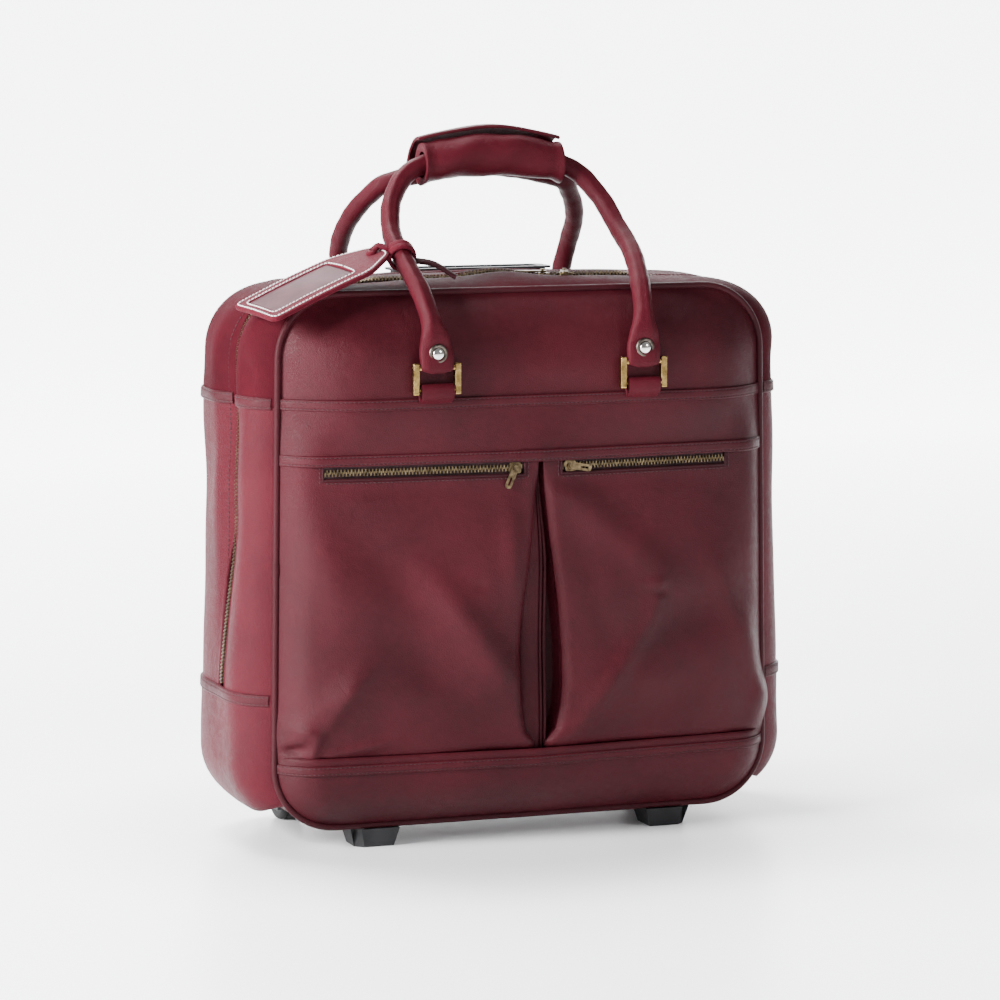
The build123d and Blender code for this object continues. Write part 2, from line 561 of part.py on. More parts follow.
def handle(y, side_path, crest, out):
    """One carry handle: rolled leather tube between two flat ends that hold the rings.

    side_path is the right leg from its lower end upwards, crest the middle of the grip."""
    left = [(-x, leg_y, z) for x, leg_y, z in side_path]
    points = left + [crest] + side_path[::-1]
    start = Vector(0, out * 0.25, 1).normalized()
    path = Spline(points, tangents=[start, start * -1])
    tube = sweep(Plane(origin=path @ 0, z_dir=path % 0) * Circle(HANDLE_R), path=path)
    ends = []
    for x in (-RING_X, RING_X):
        loop = bar_x(4.2, x - TAB_W / 2, x + TAB_W / 2, y, RING_HIGH_Z)
        low = Plane(origin=(x, y, RING_HIGH_Z), z_dir=(0, 0, 1)) * RectangleRounded(TAB_W, 8.4, 3.0)
        mid = Plane(origin=(x, y - out * 0.5, RING_HIGH_Z + 16), z_dir=(0, 0, 1)) * RectangleRounded(TAB_W - 1, 9.0, 3.5)
        top_y, top_z = side_path[0][1:]
        top = Plane(origin=(x, top_y, top_z + 4), z_dir=(0, out * 0.25, 1)) * RectangleRounded(17.6, 16.8, 6.0)
        flat = loft([low, mid, top], ruled=True)
        ends.append(loop + flat - bar_x(RING_BAR_R + 0.08, x - 40, x + 40, y, RING_HIGH_Z))
    return path, tube, ends


FRONT_LEG = [(RING_X + 1.5, FRONT_Y - 36.0, 398.0), (89.0, FRONT_Y - 19.5, 425.0),
             (93.5, FRONT_Y + 9.0, 449.0), (93.0, FRONT_Y + 39.0, 468.0),
             (84.0, FRONT_Y + 61.0, 494.0), (60.0, FRONT_Y + 72.5, 516.0)]
FRONT_CREST = (0, FRONT_Y + 74.5, 526.0)
REAR_LEG = [(RING_X + 6.0, REAR_RING_Y + 3.0, 398.0), (94.0, REAR_RING_Y + 2.0, 428.0),
            (97.0, REAR_Y + 14.0, 450.0), (95.0, REAR_Y - 5.0, 472.0), (84.0, REAR_Y - 23.0, 492.0),
            (66.0, REAR_Y - 37.0, 505.0)]
REAR_CREST = (0, REAR_Y - 46.0, 515.0)


def save_handle(name, ring_y, leg, crest, out):
    """Handle, with its rings, snaps and, as a returned solid, the whole leather piece."""
    path, tube, ends = handle(ring_y, leg, crest, out)
    leather = tube + ends[0] + ends[1]
    snap_z = RING_HIGH_Z + 11.0
    outward = -out
    snaps = []
    for x in (-RING_X, RING_X):
        y0 = ring_y - out * 0.3
        face = y0 + outward * 4.3
        y_in, y_tip = face - outward * 1.5, face + outward * 1.5
        lo, hi = sorted((y_in, y_tip))
        cap = bar_y(6.0, lo, hi, x, snap_z)
        rim = cap.edges().filter_by(GeomType.CIRCLE).sort_by(Axis.Y)
        snaps.append(fillet(rim[0] if out > 0 else rim[-1], 1.2))
        leather -= bar_y(6.1, min(y_in, y_tip + outward * 5), max(y_in, y_tip + outward * 5), x, snap_z)
    save(leather, f"{name}_handle")
    save(Compound(snaps), f"{name}_handle_snaps")
    save(ring(ring_y), f"{name}_handle_rings")
    return leather, path


front_handle, front_path = save_handle("front", FRONT_RING_Y, FRONT_LEG, FRONT_CREST, 1)
save_handle("rear", REAR_RING_Y, REAR_LEG, REAR_CREST, -1)
all_tabs = ring_tabs(FRONT_RING_Y, FRONT_PANEL_Y - HAIR) + ring_tabs(REAR_RING_Y, REAR_Y + 12.0 + HAIR)
save(Compound(all_tabs), "ring_tabs")

# wrap round the front grip, and the flap that covers the rear grip
wrap_path = ThreePointArc((-56, FRONT_Y + 73.5, 518.5), FRONT_CREST, (56, FRONT_Y + 73.5, 518.5))
wrap = sweep(Plane(origin=wrap_path @ 0, z_dir=wrap_path % 0) * Circle(WRAP_R), path=wrap_path)
bore = sweep(Plane(origin=wrap_path @ 0, z_dir=wrap_path % 0) * Circle(WRAP_R - 3.5), path=wrap_path)
save(wrap - bore - front_handle, "grip_wrap")
FLAP_HINGE_Y = FRONT_CREST[1]
FLAP_HINGE_Z = FRONT_CREST[2] + WRAP_R + 2.0
flap_section = [(FLAP_HINGE_Y, FLAP_HINGE_Z - 1.0), (FLAP_HINGE_Y + 16, FLAP_HINGE_Z + 1.5),
                (FLAP_HINGE_Y + 34, FLAP_HINGE_Z - 5.0), (FLAP_HINGE_Y + 34.6, FLAP_HINGE_Z - 2.8),
                (FLAP_HINGE_Y + 16, FLAP_HINGE_Z + 4.0), (FLAP_HINGE_Y, FLAP_HINGE_Z + 1.5)]
flap_face = make_face(Polyline(*[(y, z) for y, z in flap_section], close=True))
save(Pos(-48, 0, 0) * extrude(Plane.YZ * flap_face, 96), "grip_flap")

# ---------------------------------------------------------------- luggage tag
TAG_HOLE = Vector(-115.0, FRONT_Y + 19.0, 452.0)
TAG_FAR = Vector(-216.0, FRONT_Y - 2.0, 412.0)
tag_x = (TAG_FAR - TAG_HOLE).normalized()
tag_z = tag_x.cross(Vector(0.27, -0.957, -0.095)).normalized()
if tag_z.Z < 0:
    tag_z = tag_z * -1
tag_place = Location(Plane(origin=TAG_HOLE, x_dir=tag_x, z_dir=tag_z))
TAG_LENGTH = (TAG_FAR - TAG_HOLE).length
TAG_HALF = 31.0
TAG_END = 8.0


def tag_layer(z0, z1):
    """One layer of the tag, in its own frame: X from the hole to the far end."""
    corners = [(-TAG_END, -9), (24, -TAG_HALF), (TAG_LENGTH, -TAG_HALF),
               (TAG_LENGTH, TAG_HALF), (24, TAG_HALF), (-TAG_END, 9)]
    face = fillet(make_face(Polyline(*corners, close=True)).vertices(), 5)
    return extrude(Pos(0, 0, z0) * face, z1 - z0)


tag_window_cut = box((30, TAG_LENGTH - 9), (-19, 19), (-5, 5))
tag_hole = bar_z(3.2, -6, 6, 0, 0)
save(tag_place * (tag_layer(-1.7, -0.05) - tag_hole), "tag_back")
save(tag_place * (tag_layer(0.05, 1.7) - tag_hole - tag_window_cut), "tag_front")
save(tag_place * box((30 + GAP, TAG_LENGTH - 9 - GAP), (-19 + GAP, 19 - GAP), (0.15, 0.9)), "tag_window")

# strap: two turns round the left leg of the front handle, a bridge, and a stud in the tag
STRAP_PLACE_T = 0.155
leg_at = front_path @ STRAP_PLACE_T
leg_dir = front_path % STRAP_PLACE_T
bridge_dir = (TAG_HOLE - leg_at).normalized()
across = leg_dir.cross(bridge_dir).normalized()
loop_place = Location(Plane(origin=leg_at, x_dir=across, z_dir=leg_dir))
loop = Cylinder(10.6, 12) - Cylinder(8.6, 20)
loop -= Cylinder(12, 0.6) - Cylinder(9.4, 2)
span = (TAG_HOLE - leg_at).length
bridge_place = Location(Plane(origin=leg_at, x_dir=across, z_dir=bridge_dir))
bridge = bridge_place * Pos(0, 0, (span + 9.0) / 2) * Box(5.0, 3.0, span - 9.0)
stud = tag_place * (bar_z(3.0, -2.6, 2.6, 0, 0) + bar_z(4.6, -3.4, -1.9, 0, 0) + bar_z(4.6, 1.9, 3.4, 0, 0))
tag_solid = tag_place * (tag_layer(-1.75, 1.75) - bar_z(3.1, -6, 6, 0, 0))
save(loop_place * loop + (bridge - tag_solid) + stud, "tag_strap")
tail_end = Vector(-54.0, FRONT_Y + 1.0, 435.0)
tail_dir = (tail_end - leg_at).normalized()
tail_place = Location(Plane(origin=leg_at, x_dir=leg_dir, z_dir=tail_dir))
tail_length = (tail_end - leg_at).length
tail = tail_place * Pos(0, 0, (tail_length + 12.6) / 2) * Box(5.0, 1.8, tail_length - 12.6)
save(tail, "tag_strap_tail")
print("strap loop at", leg_at, "leg direction", leg_dir, "tag axis", tag_z, "tag far", TAG_FAR)

# ---------------------------------------------------------------- lining of the main compartment
LINING_BACK = TROLLEY_Y - 13.5
LINING_T = 1.0
lining_outer = gusset_solid(LEATHER + 1.4) & box((-400, 400), (FRONT_Y + 6, LINING_BACK), (BOARD_Z[1] + GAP, 600))
lining_inner = gusset_solid(LEATHER + 1.4 + LINING_T) & box(
    (-400, 400), (FRONT_Y - 10, LINING_BACK - LINING_T), (BOARD_Z[1] + GAP + LINING_T, 600))
save(lining_outer - lining_inner - HOUSING_CUT, "lining")
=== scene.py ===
import math

import bmesh
import bpy
import numpy as np
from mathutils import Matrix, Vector


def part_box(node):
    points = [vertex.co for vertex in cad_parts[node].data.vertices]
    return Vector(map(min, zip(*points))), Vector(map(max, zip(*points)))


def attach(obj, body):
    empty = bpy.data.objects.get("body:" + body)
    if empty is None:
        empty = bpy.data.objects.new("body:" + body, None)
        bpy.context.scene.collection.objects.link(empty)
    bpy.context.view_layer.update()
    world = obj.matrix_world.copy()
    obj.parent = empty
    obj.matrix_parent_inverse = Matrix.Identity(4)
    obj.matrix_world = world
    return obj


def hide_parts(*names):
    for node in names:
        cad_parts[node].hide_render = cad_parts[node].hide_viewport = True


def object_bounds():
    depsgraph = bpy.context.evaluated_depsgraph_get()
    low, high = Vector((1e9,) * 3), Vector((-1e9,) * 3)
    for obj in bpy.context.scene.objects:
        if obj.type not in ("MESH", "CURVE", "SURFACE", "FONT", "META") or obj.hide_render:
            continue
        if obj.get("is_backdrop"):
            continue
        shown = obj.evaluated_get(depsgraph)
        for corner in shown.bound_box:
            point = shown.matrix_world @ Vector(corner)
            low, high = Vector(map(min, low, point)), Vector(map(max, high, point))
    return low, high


# Rolling flight case in burgundy leather. The frame holds every size and joint; this
# script makes the soft leather skins, seams, stitching, zips and materials round it.
# Working unit in this script: millimetres, turned into metres when a mesh is made.

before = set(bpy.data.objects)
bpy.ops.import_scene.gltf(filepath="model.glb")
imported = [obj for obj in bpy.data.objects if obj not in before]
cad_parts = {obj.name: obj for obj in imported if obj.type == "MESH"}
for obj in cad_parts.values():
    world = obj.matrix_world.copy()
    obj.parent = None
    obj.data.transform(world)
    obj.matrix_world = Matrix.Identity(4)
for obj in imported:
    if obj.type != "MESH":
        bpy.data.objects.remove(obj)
cad_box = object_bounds()
MM = 0.001


def limits(node):
    """Lowest and highest corner of a CAD node, in millimetres."""
    low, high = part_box(node)
    return np.array(low) / MM, np.array(high) / MM


# ---------------------------------------------------------------- camera
CAMERA_TARGET = Vector((7.3, 7.0, 253.9)) * MM
CAMERA_DISTANCE = 3238.7 * MM
CAMERA_AZIMUTH = math.radians(-20.0)
CAMERA_ELEVATION = math.radians(7.0)
CAMERA_LENS = 148.35


def make_camera():
    data = bpy.data.cameras.new("camera")
    data.lens = CAMERA_LENS
    data.sensor_width = 36.0
    data.clip_end = 50.0
    cam = bpy.data.objects.new("camera", data)
    bpy.context.scene.collection.objects.link(cam)
    back = Vector((math.sin(CAMERA_AZIMUTH) * math.cos(CAMERA_ELEVATION),
                   -math.cos(CAMERA_AZIMUTH) * math.cos(CAMERA_ELEVATION),
                   math.sin(CAMERA_ELEVATION)))
    cam.location = CAMERA_TARGET + back * CAMERA_DISTANCE
    cam.rotation_euler = (-back).to_track_quat("-Z", "Y").to_euler()
    bpy.context.scene.camera = cam


make_camera()

# ---------------------------------------------------------------- sizes shared with the frame
HALF = 195.0              # half width between the piping seams at the top
FLARE = 6.0               # extra half width at the bottom
LOW = 18.0
HIGH = 424.0
CORNER = 48.0
MID_Y = 7.0
DEPTH = 144.0
FRONT_Y = MID_Y - DEPTH / 2
REAR_Y = MID_Y + DEPTH / 2
ZIP_Y = MID_Y - 18.0
TOP_ZIP_Y = MID_Y + 22.0
UPPER_SEAM_Z = 343.0
BAND_SEAM_Z = 301.0
POCKET_LOW_Z = 70.0
BASE_SEAM_Z = 117.0
FRONT_CROWN = 34.0
REAR_CROWN = 11.0
SIDE_BULGE = 27.0
SKIN = 1.6


# ---------------------------------------------------------------- materials
def add(nodes, kind, **values):
    """New shader node with some of its inputs set by name."""
    node = nodes.new(kind)
    for key, value in values.items():
        node.inputs[key.replace("_", " ")].default_value = value
    return node


class Finish:
    """One procedural material, put together from a few kinds of node."""

    def __init__(self, name):
        self.mat = bpy.data.materials.new(name)
        self.mat.use_nodes = True
        self.nodes, self.links = self.mat.node_tree.nodes, self.mat.node_tree.links
        self.shader = self.nodes["Principled BSDF"]
        self.place = self.nodes.new("ShaderNodeTexCoord").outputs["Object"]

    def constant(self, **values):
        for key, value in values.items():
            self.shader.inputs[key.replace("_", " ")].default_value = value

    def texture(self, kind, output="Fac", **values):
        node = add(self.nodes, f"ShaderNodeTex{kind}", **values)
        if output == "Distance":
            node.feature = "DISTANCE_TO_EDGE"
        self.links.new(self.place, node.inputs["Vector"])
        return node.outputs[output]

    def math(self, operation, first, second, third=None):
        node = self.nodes.new("ShaderNodeMath")
        node.operation = operation
        for socket, value in zip(node.inputs, (first, second, third)):
            if isinstance(value, float):
                socket.default_value = value
            elif value is not None:
                self.links.new(value, socket)
        return node.outputs[0]

    def spread(self, source, smooth=False, **values):
        """Map Range from source."""
        node = add(self.nodes, "ShaderNodeMapRange", **values)
        if smooth:
            node.interpolation_type = "SMOOTHSTEP"
        self.links.new(source, node.inputs["Value"])
        return node.outputs["Result"]

    def colour(self, source, low, dark, high, light):
        node = self.nodes.new("ShaderNodeValToRGB")
        for element, place, tint in zip(node.color_ramp.elements, (low, high), (dark, light)):
            element.position = place
            element.color = (*tint, 1.0)
        self.links.new(source, node.inputs["Fac"])
        self.links.new(node.outputs["Color"], self.shader.inputs["Base Color"])

    def roughness(self, source, low, high, **values):
        gloss = self.spread(source, To_Min=low, To_Max=high, **values)
        self.links.new(gloss, self.shader.inputs["Roughness"])

    def bump(self, source, strength, distance, under=None):
        node = add(self.nodes, "ShaderNodeBump", Strength=strength, Distance=distance)
        self.links.new(source, node.inputs["Height"])
        if under is not None:
            self.links.new(under, node.inputs["Normal"])
        self.links.new(node.outputs["Normal"], self.shader.inputs["Normal"])
        return node.outputs["Normal"]


def leather(name, dark, light, grain=0.5, grain_size=1.2, rough=(0.38, 0.52), coat=0.02, wrinkle=0.42, shine=0.2):
    """Full-grain leather: cloudy dye, pebble grain, fine wrinkles, worn gloss."""
    finish = Finish(name)
    cloud = finish.texture("Noise", Scale=9.0, Detail=6.0, Roughness=0.6)
    mottle = finish.texture("Noise", Scale=160.0, Detail=4.0, Roughness=0.65)
    pebble = finish.texture("Voronoi", "Distance", Scale=1000.0 / grain_size)
    crease = finish.texture("Noise", Scale=60.0, Detail=8.0, Roughness=0.7, Distortion=1.2)
    finish.colour(finish.math("MULTIPLY_ADD", mottle, 0.3, cloud), 0.4, dark, 0.9, light)
    finish.roughness(mottle, *rough, From_Min=0.3, From_Max=0.7)
    pebbles = finish.bump(finish.spread(pebble, From_Max=0.22), grain, 0.00025)
    finish.bump(crease, wrinkle, 0.0012, under=pebbles)
    finish.constant(IOR=1.34, Specular_IOR_Level=shine, Coat_Weight=coat, Coat_IOR=1.3, Coat_Roughness=0.34)
    return finish.mat


def metal(name, dark, light, rough, scratch=0.12):
    """Cast or plated metal with tarnish in patches and fine scratches."""
    finish = Finish(name)
    patch = finish.texture("Noise", Scale=240.0, Detail=5.0, Roughness=0.6)
    finish.colour(patch, 0.35, dark, 0.65, light)
    finish.roughness(patch, rough, rough + 0.18)
    finish.bump(finish.texture("Noise", Scale=900.0, Detail=3.0, Roughness=0.7), scratch, 0.0001)
    finish.constant(Metallic=1.0)
    return finish.mat


def plastic(name, dark, light, rough=0.42, pits=0.15):
    """Moulded plastic or rubber with a fine spark-eroded texture."""
    finish = Finish(name)
    cloud = finish.texture("Noise", Scale=35.0, Detail=4.0)
    finish.colour(cloud, 0.3, dark, 0.7, light)
    finish.roughness(cloud, rough - 0.08, rough + 0.1)
    finish.bump(finish.texture("Noise", Scale=1000.0 / 0.35, Detail=2.0), pits, 0.0002)
    finish.constant(IOR=1.3, Specular_IOR_Level=0.3)
    return finish.mat


def woven(name, dark, light, thread=0.5):
    """Plain woven tape or lining, threads along the three axes."""
    finish = Finish(name)
    finish.colour(finish.texture("Noise", Scale=90.0, Detail=3.0), 0.3, dark, 0.7, light)
    finish.bump(finish.texture("Checker", Scale=1000.0 / thread), 0.5, 0.0002)
    finish.constant(Roughness=0.8)
    return finish.mat


def clear_plastic(name, dark, light):
    """Soft clear vinyl over dark leather, a little cloudy."""
    finish = Finish(name)
    cloud = finish.texture("Noise", Scale=60.0, Detail=3.0)
    finish.colour(cloud, 0.3, dark, 0.7, light)
    finish.bump(cloud, 0.2, 0.0008)
    finish.constant(Roughness=0.3, IOR=1.3, Specular_IOR_Level=0.12, Coat_Weight=0.01, Coat_Roughness=0.12)
    return finish.mat


LEATHER_DARK = (0.023, 0.0025, 0.0046)
LEATHER_LIGHT = (0.05, 0.0050, 0.0092)
hide = leather("burgundy_leather", LEATHER_DARK, LEATHER_LIGHT)
# Lighter copy of the same burgundy leather for the side and boot gussets: painted light for their lit sides
LIT_SIDE_DARK = (0.034, 0.0034, 0.0066)
LIT_SIDE_LIGHT = (0.068, 0.0066, 0.0122)
hide_pebble_lit = leather("lit_pebbled_leather", LIT_SIDE_DARK, LIT_SIDE_LIGHT, grain=1.0, grain_size=2.2, shine=0.12)
hide_side_lit = leather("lit_side_leather", LIT_SIDE_DARK, LIT_SIDE_LIGHT, coat=0.0, shine=0.14)
hide_crown = leather("crown_leather", LEATHER_DARK, LEATHER_LIGHT, rough=(0.52, 0.64), coat=0.0, shine=0.04)
hide_soft = leather("burgundy_pocket_leather", LEATHER_DARK, LEATHER_LIGHT, wrinkle=0.5, rough=(0.4, 0.56))
hide_roll = leather("rolled_handle_leather", (0.034, 0.0030, 0.0060), (0.060, 0.0055, 0.0105), grain=0.45,
                    wrinkle=0.7, rough=(0.36, 0.5), coat=0.02, shine=0.12)
hide_cord = leather("piping_leather", (0.02, 0.0022, 0.004), (0.038, 0.004, 0.0072), wrinkle=0.5)
# Darker leather: the own colour of cut edges, and painted shade where it covers the recessed pocket back
hide_edge_and_recess_shade = leather("cut_edge_and_recess_shade_leather", (0.014, 0.0025, 0.004), (0.03, 0.0045, 0.007), wrinkle=0.4,
                    rough=(0.5, 0.65))
hide_tag = leather("tag_leather", (0.050, 0.0045, 0.009), (0.080, 0.008, 0.015), coat=0.0, shine=0.06)
thread = woven("burgundy_thread", (0.016, 0.0022, 0.004), (0.034, 0.005, 0.008), thread=0.3)
pale_thread = woven("pale_thread", (0.7, 0.58, 0.58), (0.9, 0.82, 0.82), thread=0.3)
tape_cloth = woven("zip_tape_cloth", (0.018, 0.008, 0.009), (0.05, 0.016, 0.02))
lining_cloth = woven("lining_cloth", (0.05, 0.035, 0.035), (0.09, 0.07, 0.07), thread=0.8)
old_brass = metal("antique_brass", (0.07, 0.048, 0.026), (0.27, 0.2, 0.11), 0.3)
ring_brass = metal("ring_brass", (0.16, 0.1, 0.032), (0.42, 0.28, 0.1), 0.16)
nickel = metal("polished_nickel", (0.62, 0.6, 0.56), (0.86, 0.85, 0.82), 0.06, scratch=0.03)
dark_metal = metal("dark_socket_metal", (0.05, 0.04, 0.035), (0.14, 0.12, 0.1), 0.3)
zinc = metal("zinc_steel", (0.4, 0.4, 0.41), (0.62, 0.62, 0.62), 0.3)
anodised = metal("anodised_tube", (0.52, 0.52, 0.54), (0.66, 0.66, 0.68), 0.28)
black = plastic("black_moulding", (0.012, 0.012, 0.013), (0.028, 0.028, 0.03))
rubber = plastic("tyre_rubber", (0.015, 0.015, 0.016), (0.035, 0.034, 0.034), rough=0.62, pits=0.3)
acetal = plastic("acetal_bush", (0.55, 0.54, 0.5), (0.7, 0.69, 0.64))
vinyl = clear_plastic("clear_vinyl", (0.045, 0.014, 0.018), (0.075, 0.026, 0.032))
zip_brass = metal("zip_brass", (0.075, 0.054, 0.028), (0.23, 0.175, 0.1), 0.3)
hub_plastic = plastic("hub_plastic", (0.05, 0.05, 0.052), (0.09, 0.09, 0.092), rough=0.36)
board = plastic("base_board_plastic", (0.03, 0.03, 0.03), (0.05, 0.05, 0.05), rough=0.5)
grey_button = plastic("button_plastic", (0.10, 0.10, 0.105), (0.15, 0.15, 0.155), rough=0.35)


# ---------------------------------------------------------------- mesh helpers
def make_mesh(name, verts, faces, mat, body, slot, replaces=(), smooth=True):
    """Mesh piece from millimetre points, riding on a body."""
    mesh = bpy.data.meshes.new(name)
    mesh.from_pydata([tuple(float(c) * MM for c in v) for v in verts], [], faces)
    mesh.validate()
    mesh.update()
    for poly in mesh.polygons:
        poly.use_smooth = smooth
    piece = bpy.data.objects.new(name, mesh)
    bpy.context.scene.collection.objects.link(piece)
    mesh.materials.append(mat)
    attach(piece, body)
    if replaces:
        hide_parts(*replaces)
    return piece


def grid_faces(rows, cols, wrap_rows=False, wrap_cols=False, flip=False):
    faces = []
    for i in range(rows if wrap_rows else rows - 1):
        for j in range(cols if wrap_cols else cols - 1):
            a = i * cols + j
            b = i * cols + (j + 1) % cols
            c = ((i + 1) % rows) * cols + (j + 1) % cols
            d = ((i + 1) % rows) * cols + j
            faces.append((a, d, c, b) if flip else (a, b, c, d))
    return faces


def surface(grid, wrap_rows=False, wrap_cols=False, flip=False):
    """Vertices and faces of a grid of points."""
    grid = np.asarray(grid, float)
    return list(grid.reshape(-1, 3)), grid_faces(*grid.shape[:2], wrap_rows, wrap_cols, flip)


def thicken(piece, thick):
    """Give a skin its thickness on the inner side."""
    solid = piece.modifiers.new("thickness", "SOLIDIFY")
    solid.thickness = thick * MM
    solid.offset = -1.0


def sheet_piece(name, points, mat, body, slot, replaces=(), flip=False, thick=SKIN):
    """Leather sheet from a grid of points, given its thickness on the inner side."""
    piece = make_mesh(name, *surface(points, flip=flip), mat, body, slot, replaces)
    thicken(piece, thick)
    return piece


def unit(v):
    v = np.asarray(v, float)
    return v / max(np.linalg.norm(v), 1e-9)


def run_along(points):
    """Distance run from the start of a polyline to each of its points."""
    return np.concatenate([[0], np.cumsum(np.linalg.norm(np.diff(points, axis=0), axis=1))])


def look_up(at, along, values):
    """Rows of values at the distances named by at."""
    return np.stack([np.interp(at, along, column) for column in np.transpose(values)], axis=-1)


def resample(points, step=None, count=None):
    """Evenly spaced points along a polyline."""
    along = run_along(points)
    if count is None:
        count = max(2, int(round(along[-1] / step)) + 1)
    return look_up(np.linspace(0, along[-1], count), along, points)


def smooth_path(points, count):
    """Catmull-Rom curve through a few points."""
    p = np.asarray(points, float)
    p = np.vstack([2 * p[0] - p[1], p, 2 * p[-1] - p[-2]])
    out = []
    spans = len(p) - 3
    for value in np.linspace(0, spans, count):
        i = min(int(value), spans - 1)
        t = value - i
        a, b, c, d = p[i:i + 4]
        out.append(0.5 * (2 * b + (c - a) * t + (2 * a - 5 * b + 4 * c - d) * t ** 2
                          + (3 * b - a - 3 * c + d) * t ** 3))
    return np.array(out)


def join_parts(parts):
    """One vertex list and face list from several."""
    verts, faces = [], []
    for v, f in parts:
        base = len(verts)
        verts += list(v)
        faces += [tuple(base + k for k in face) for face in f]
    return verts, faces


def swept(points, section, side=None, twist_axis=(0, 0, 1)):
    """Rings of section(k, t) -> list of (a, b) offsets, placed along a path."""
    points = np.asarray(points, float)
    n = len(points)
    rings = []
    last = None
    for k in range(n):
        tangent = unit(points[min(k + 1, n - 1)] - points[max(k - 1, 0)])
        if side is not None:
            a_dir = np.asarray(side, float)
            a_dir = unit(a_dir - tangent * np.dot(a_dir, tangent))
        elif last is None:
            a_dir = unit(np.cross(tangent, twist_axis))
        else:
            a_dir = unit(last - tangent * np.dot(last, tangent))
        last = a_dir
        b_dir = np.cross(tangent, a_dir)
        rings.append([points[k] + a_dir * a + b_dir * b for a, b in section(k, k / (n - 1))])
    verts, faces = surface(rings, False, True)
    return verts, faces + end_caps(n, len(rings[0]))


def end_caps(rows, cols):
    """Faces that close the two ends of a tube."""
    return [tuple(range(cols)), tuple(reversed(range((rows - 1) * cols, rows * cols)))]


def circle(radius, count):
    angles = [2 * math.pi * i / count for i in range(count)]
    return [(radius * math.cos(a), radius * math.sin(a)) for a in angles]


def stitch_row(points, normals, pitch=3.6, length=2.7, radius=0.34, lift=0.15):
    """Thread stitches as small capsules that dip at both ends."""
    along = run_along(points)
    sizes = (0.35, 0.95, 1.0, 0.95, 0.35)
    hexagon = circle(radius, 6)
    parts = []
    for k in range(int(along[-1] / pitch)):
        path, ups = [], []
        for offset in (-0.5, -0.3, 0.0, 0.3, 0.5):
            at = (k + 0.5) * pitch + offset * length
            ups.append(unit(look_up(at, along, normals)))
            path.append(look_up(at, along, points) + ups[-1] * (lift - (0.35 if abs(offset) == 0.5 else 0.0)))
        parts.append(swept(path, lambda j, t: [(a * sizes[j], b * sizes[j]) for a, b in hexagon],
                           side=np.cross(ups[2], path[-1] - path[0])))
    return join_parts(parts)


def stitches(name, rows, mat, body, slot="leather", **kinds):
    """All rows of stitching of one seam as one piece."""
    verts, faces = join_parts([stitch_row(points, normals, **kinds) for points, normals in rows])
    return make_mesh(name, verts, faces, mat, body, slot)


# ---------------------------------------------------------------- outline of the bag
def build_outline():
    """Closed loop round the piping seam: arc length, x, z and outward normal."""
    corners = [np.array(c) for c in ((HALF + FLARE, LOW), (HALF, HIGH), (-HALF, HIGH), (-HALF - FLARE, LOW))]
    loop = []
    for i in range(4):
        here, before, after = corners[i], corners[i - 1], corners[(i + 1) % 4]
        u, v = unit(before - here), unit(after - here)
        half_angle = math.acos(np.dot(u, v)) / 2
        reach = CORNER / math.tan(half_angle)
        centre = here + unit(u + v) * CORNER / math.sin(half_angle)
        first, last = here + u * reach - centre, here + v * reach - centre
        a0 = math.atan2(first[1], first[0])
        a1 = math.atan2(last[1], last[0])
        if a1 < a0:
            a1 += 2 * math.pi
        for a in np.linspace(a0, a1, 40):
            normal = (math.cos(a), math.sin(a))
            loop.append((centre[0] + CORNER * normal[0], centre[1] + CORNER * normal[1], *normal))
    loop = np.array(loop + loop[:1])
    return run_along(loop[:, :2]), loop


ALONG, LOOP = build_outline()
ROUND = ALONG[-1]


def outline_at(s):
    s = np.mod(s, ROUND)
    x, z, nx, nz = (np.interp(s, ALONG, LOOP[:, k]) for k in range(4))
    size = np.hypot(nx, nz)
    return x, z, nx / size, nz / size


def where(side, z):
    """Place along the outline of height z on the right (+1) or left (-1) side."""
    s = np.linspace(0, ROUND, 6000, endpoint=False)
    x, height = outline_at(s)[:2]
    pick = (x * side > HALF - CORNER) & (height > LOW + 3) & (height < HIGH - 3)
    s, height = s[pick], height[pick]
    order = np.argsort(height)
    return float(np.interp(z, height[order], s[order]))


def half_width(z):
    """Half width of the piping outline at height z, round corners included."""
    z = np.clip(z, LOW, HIGH)
    edge = HALF + FLARE * (HIGH - z) / (HIGH - LOW)
    reach = np.maximum(np.clip(z - (HIGH - CORNER), 0, CORNER), np.clip(LOW + CORNER - z, 0, CORNER))
    return edge - CORNER + np.sqrt(np.maximum(CORNER ** 2 - reach ** 2, 0))


def rise(distance, length, power=2.2):
    """0 at an edge, 1 from the given distance inwards."""
    t = np.clip(distance / length, 0, 1)
    return 1 - (1 - t) ** power


def step(value, low, high):
    t = np.clip((value - low) / (high - low), 0, 1)
    return t * t * (3 - 2 * t)


def hump(x, z, at, size, height):
    return height * np.exp(-((x - at[0]) / size[0]) ** 2 - ((z - at[1]) / size[1]) ** 2)


def fold(x, z, start, end, width, height):
    """Soft ridge (or valley, with a negative height) along a line, fading at both ends."""
    run = np.subtract(end, start).astype(float)
    length = math.hypot(*run)
    run = run / length
    along = (x - start[0]) * run[0] + (z - start[1]) * run[1]
    off = (z - start[1]) * run[0] - (x - start[0]) * run[1]
    taper = step(along, -0.35 * length, 0.3 * length) * (1 - step(along, 0.7 * length, 1.35 * length))
    return height * np.exp(-(off / width) ** 2) * taper


def ripple(x, z, seed, size=38.0, height=1.0):
    """Slow uneven waves, the same on every run."""
    a, b, c = math.sin(seed * 12.9) * 3, math.sin(seed * 78.2) * 3, math.cos(seed * 37.7) * 3
    k = 1 / size
    return height * (np.sin(k * (x * 1.3 + z * 0.6) + a) * np.cos(k * (z * 1.1 - x * 0.5) + b)
                     + 0.5 * np.sin(k * (2.1 * z + 0.9 * x) + c))


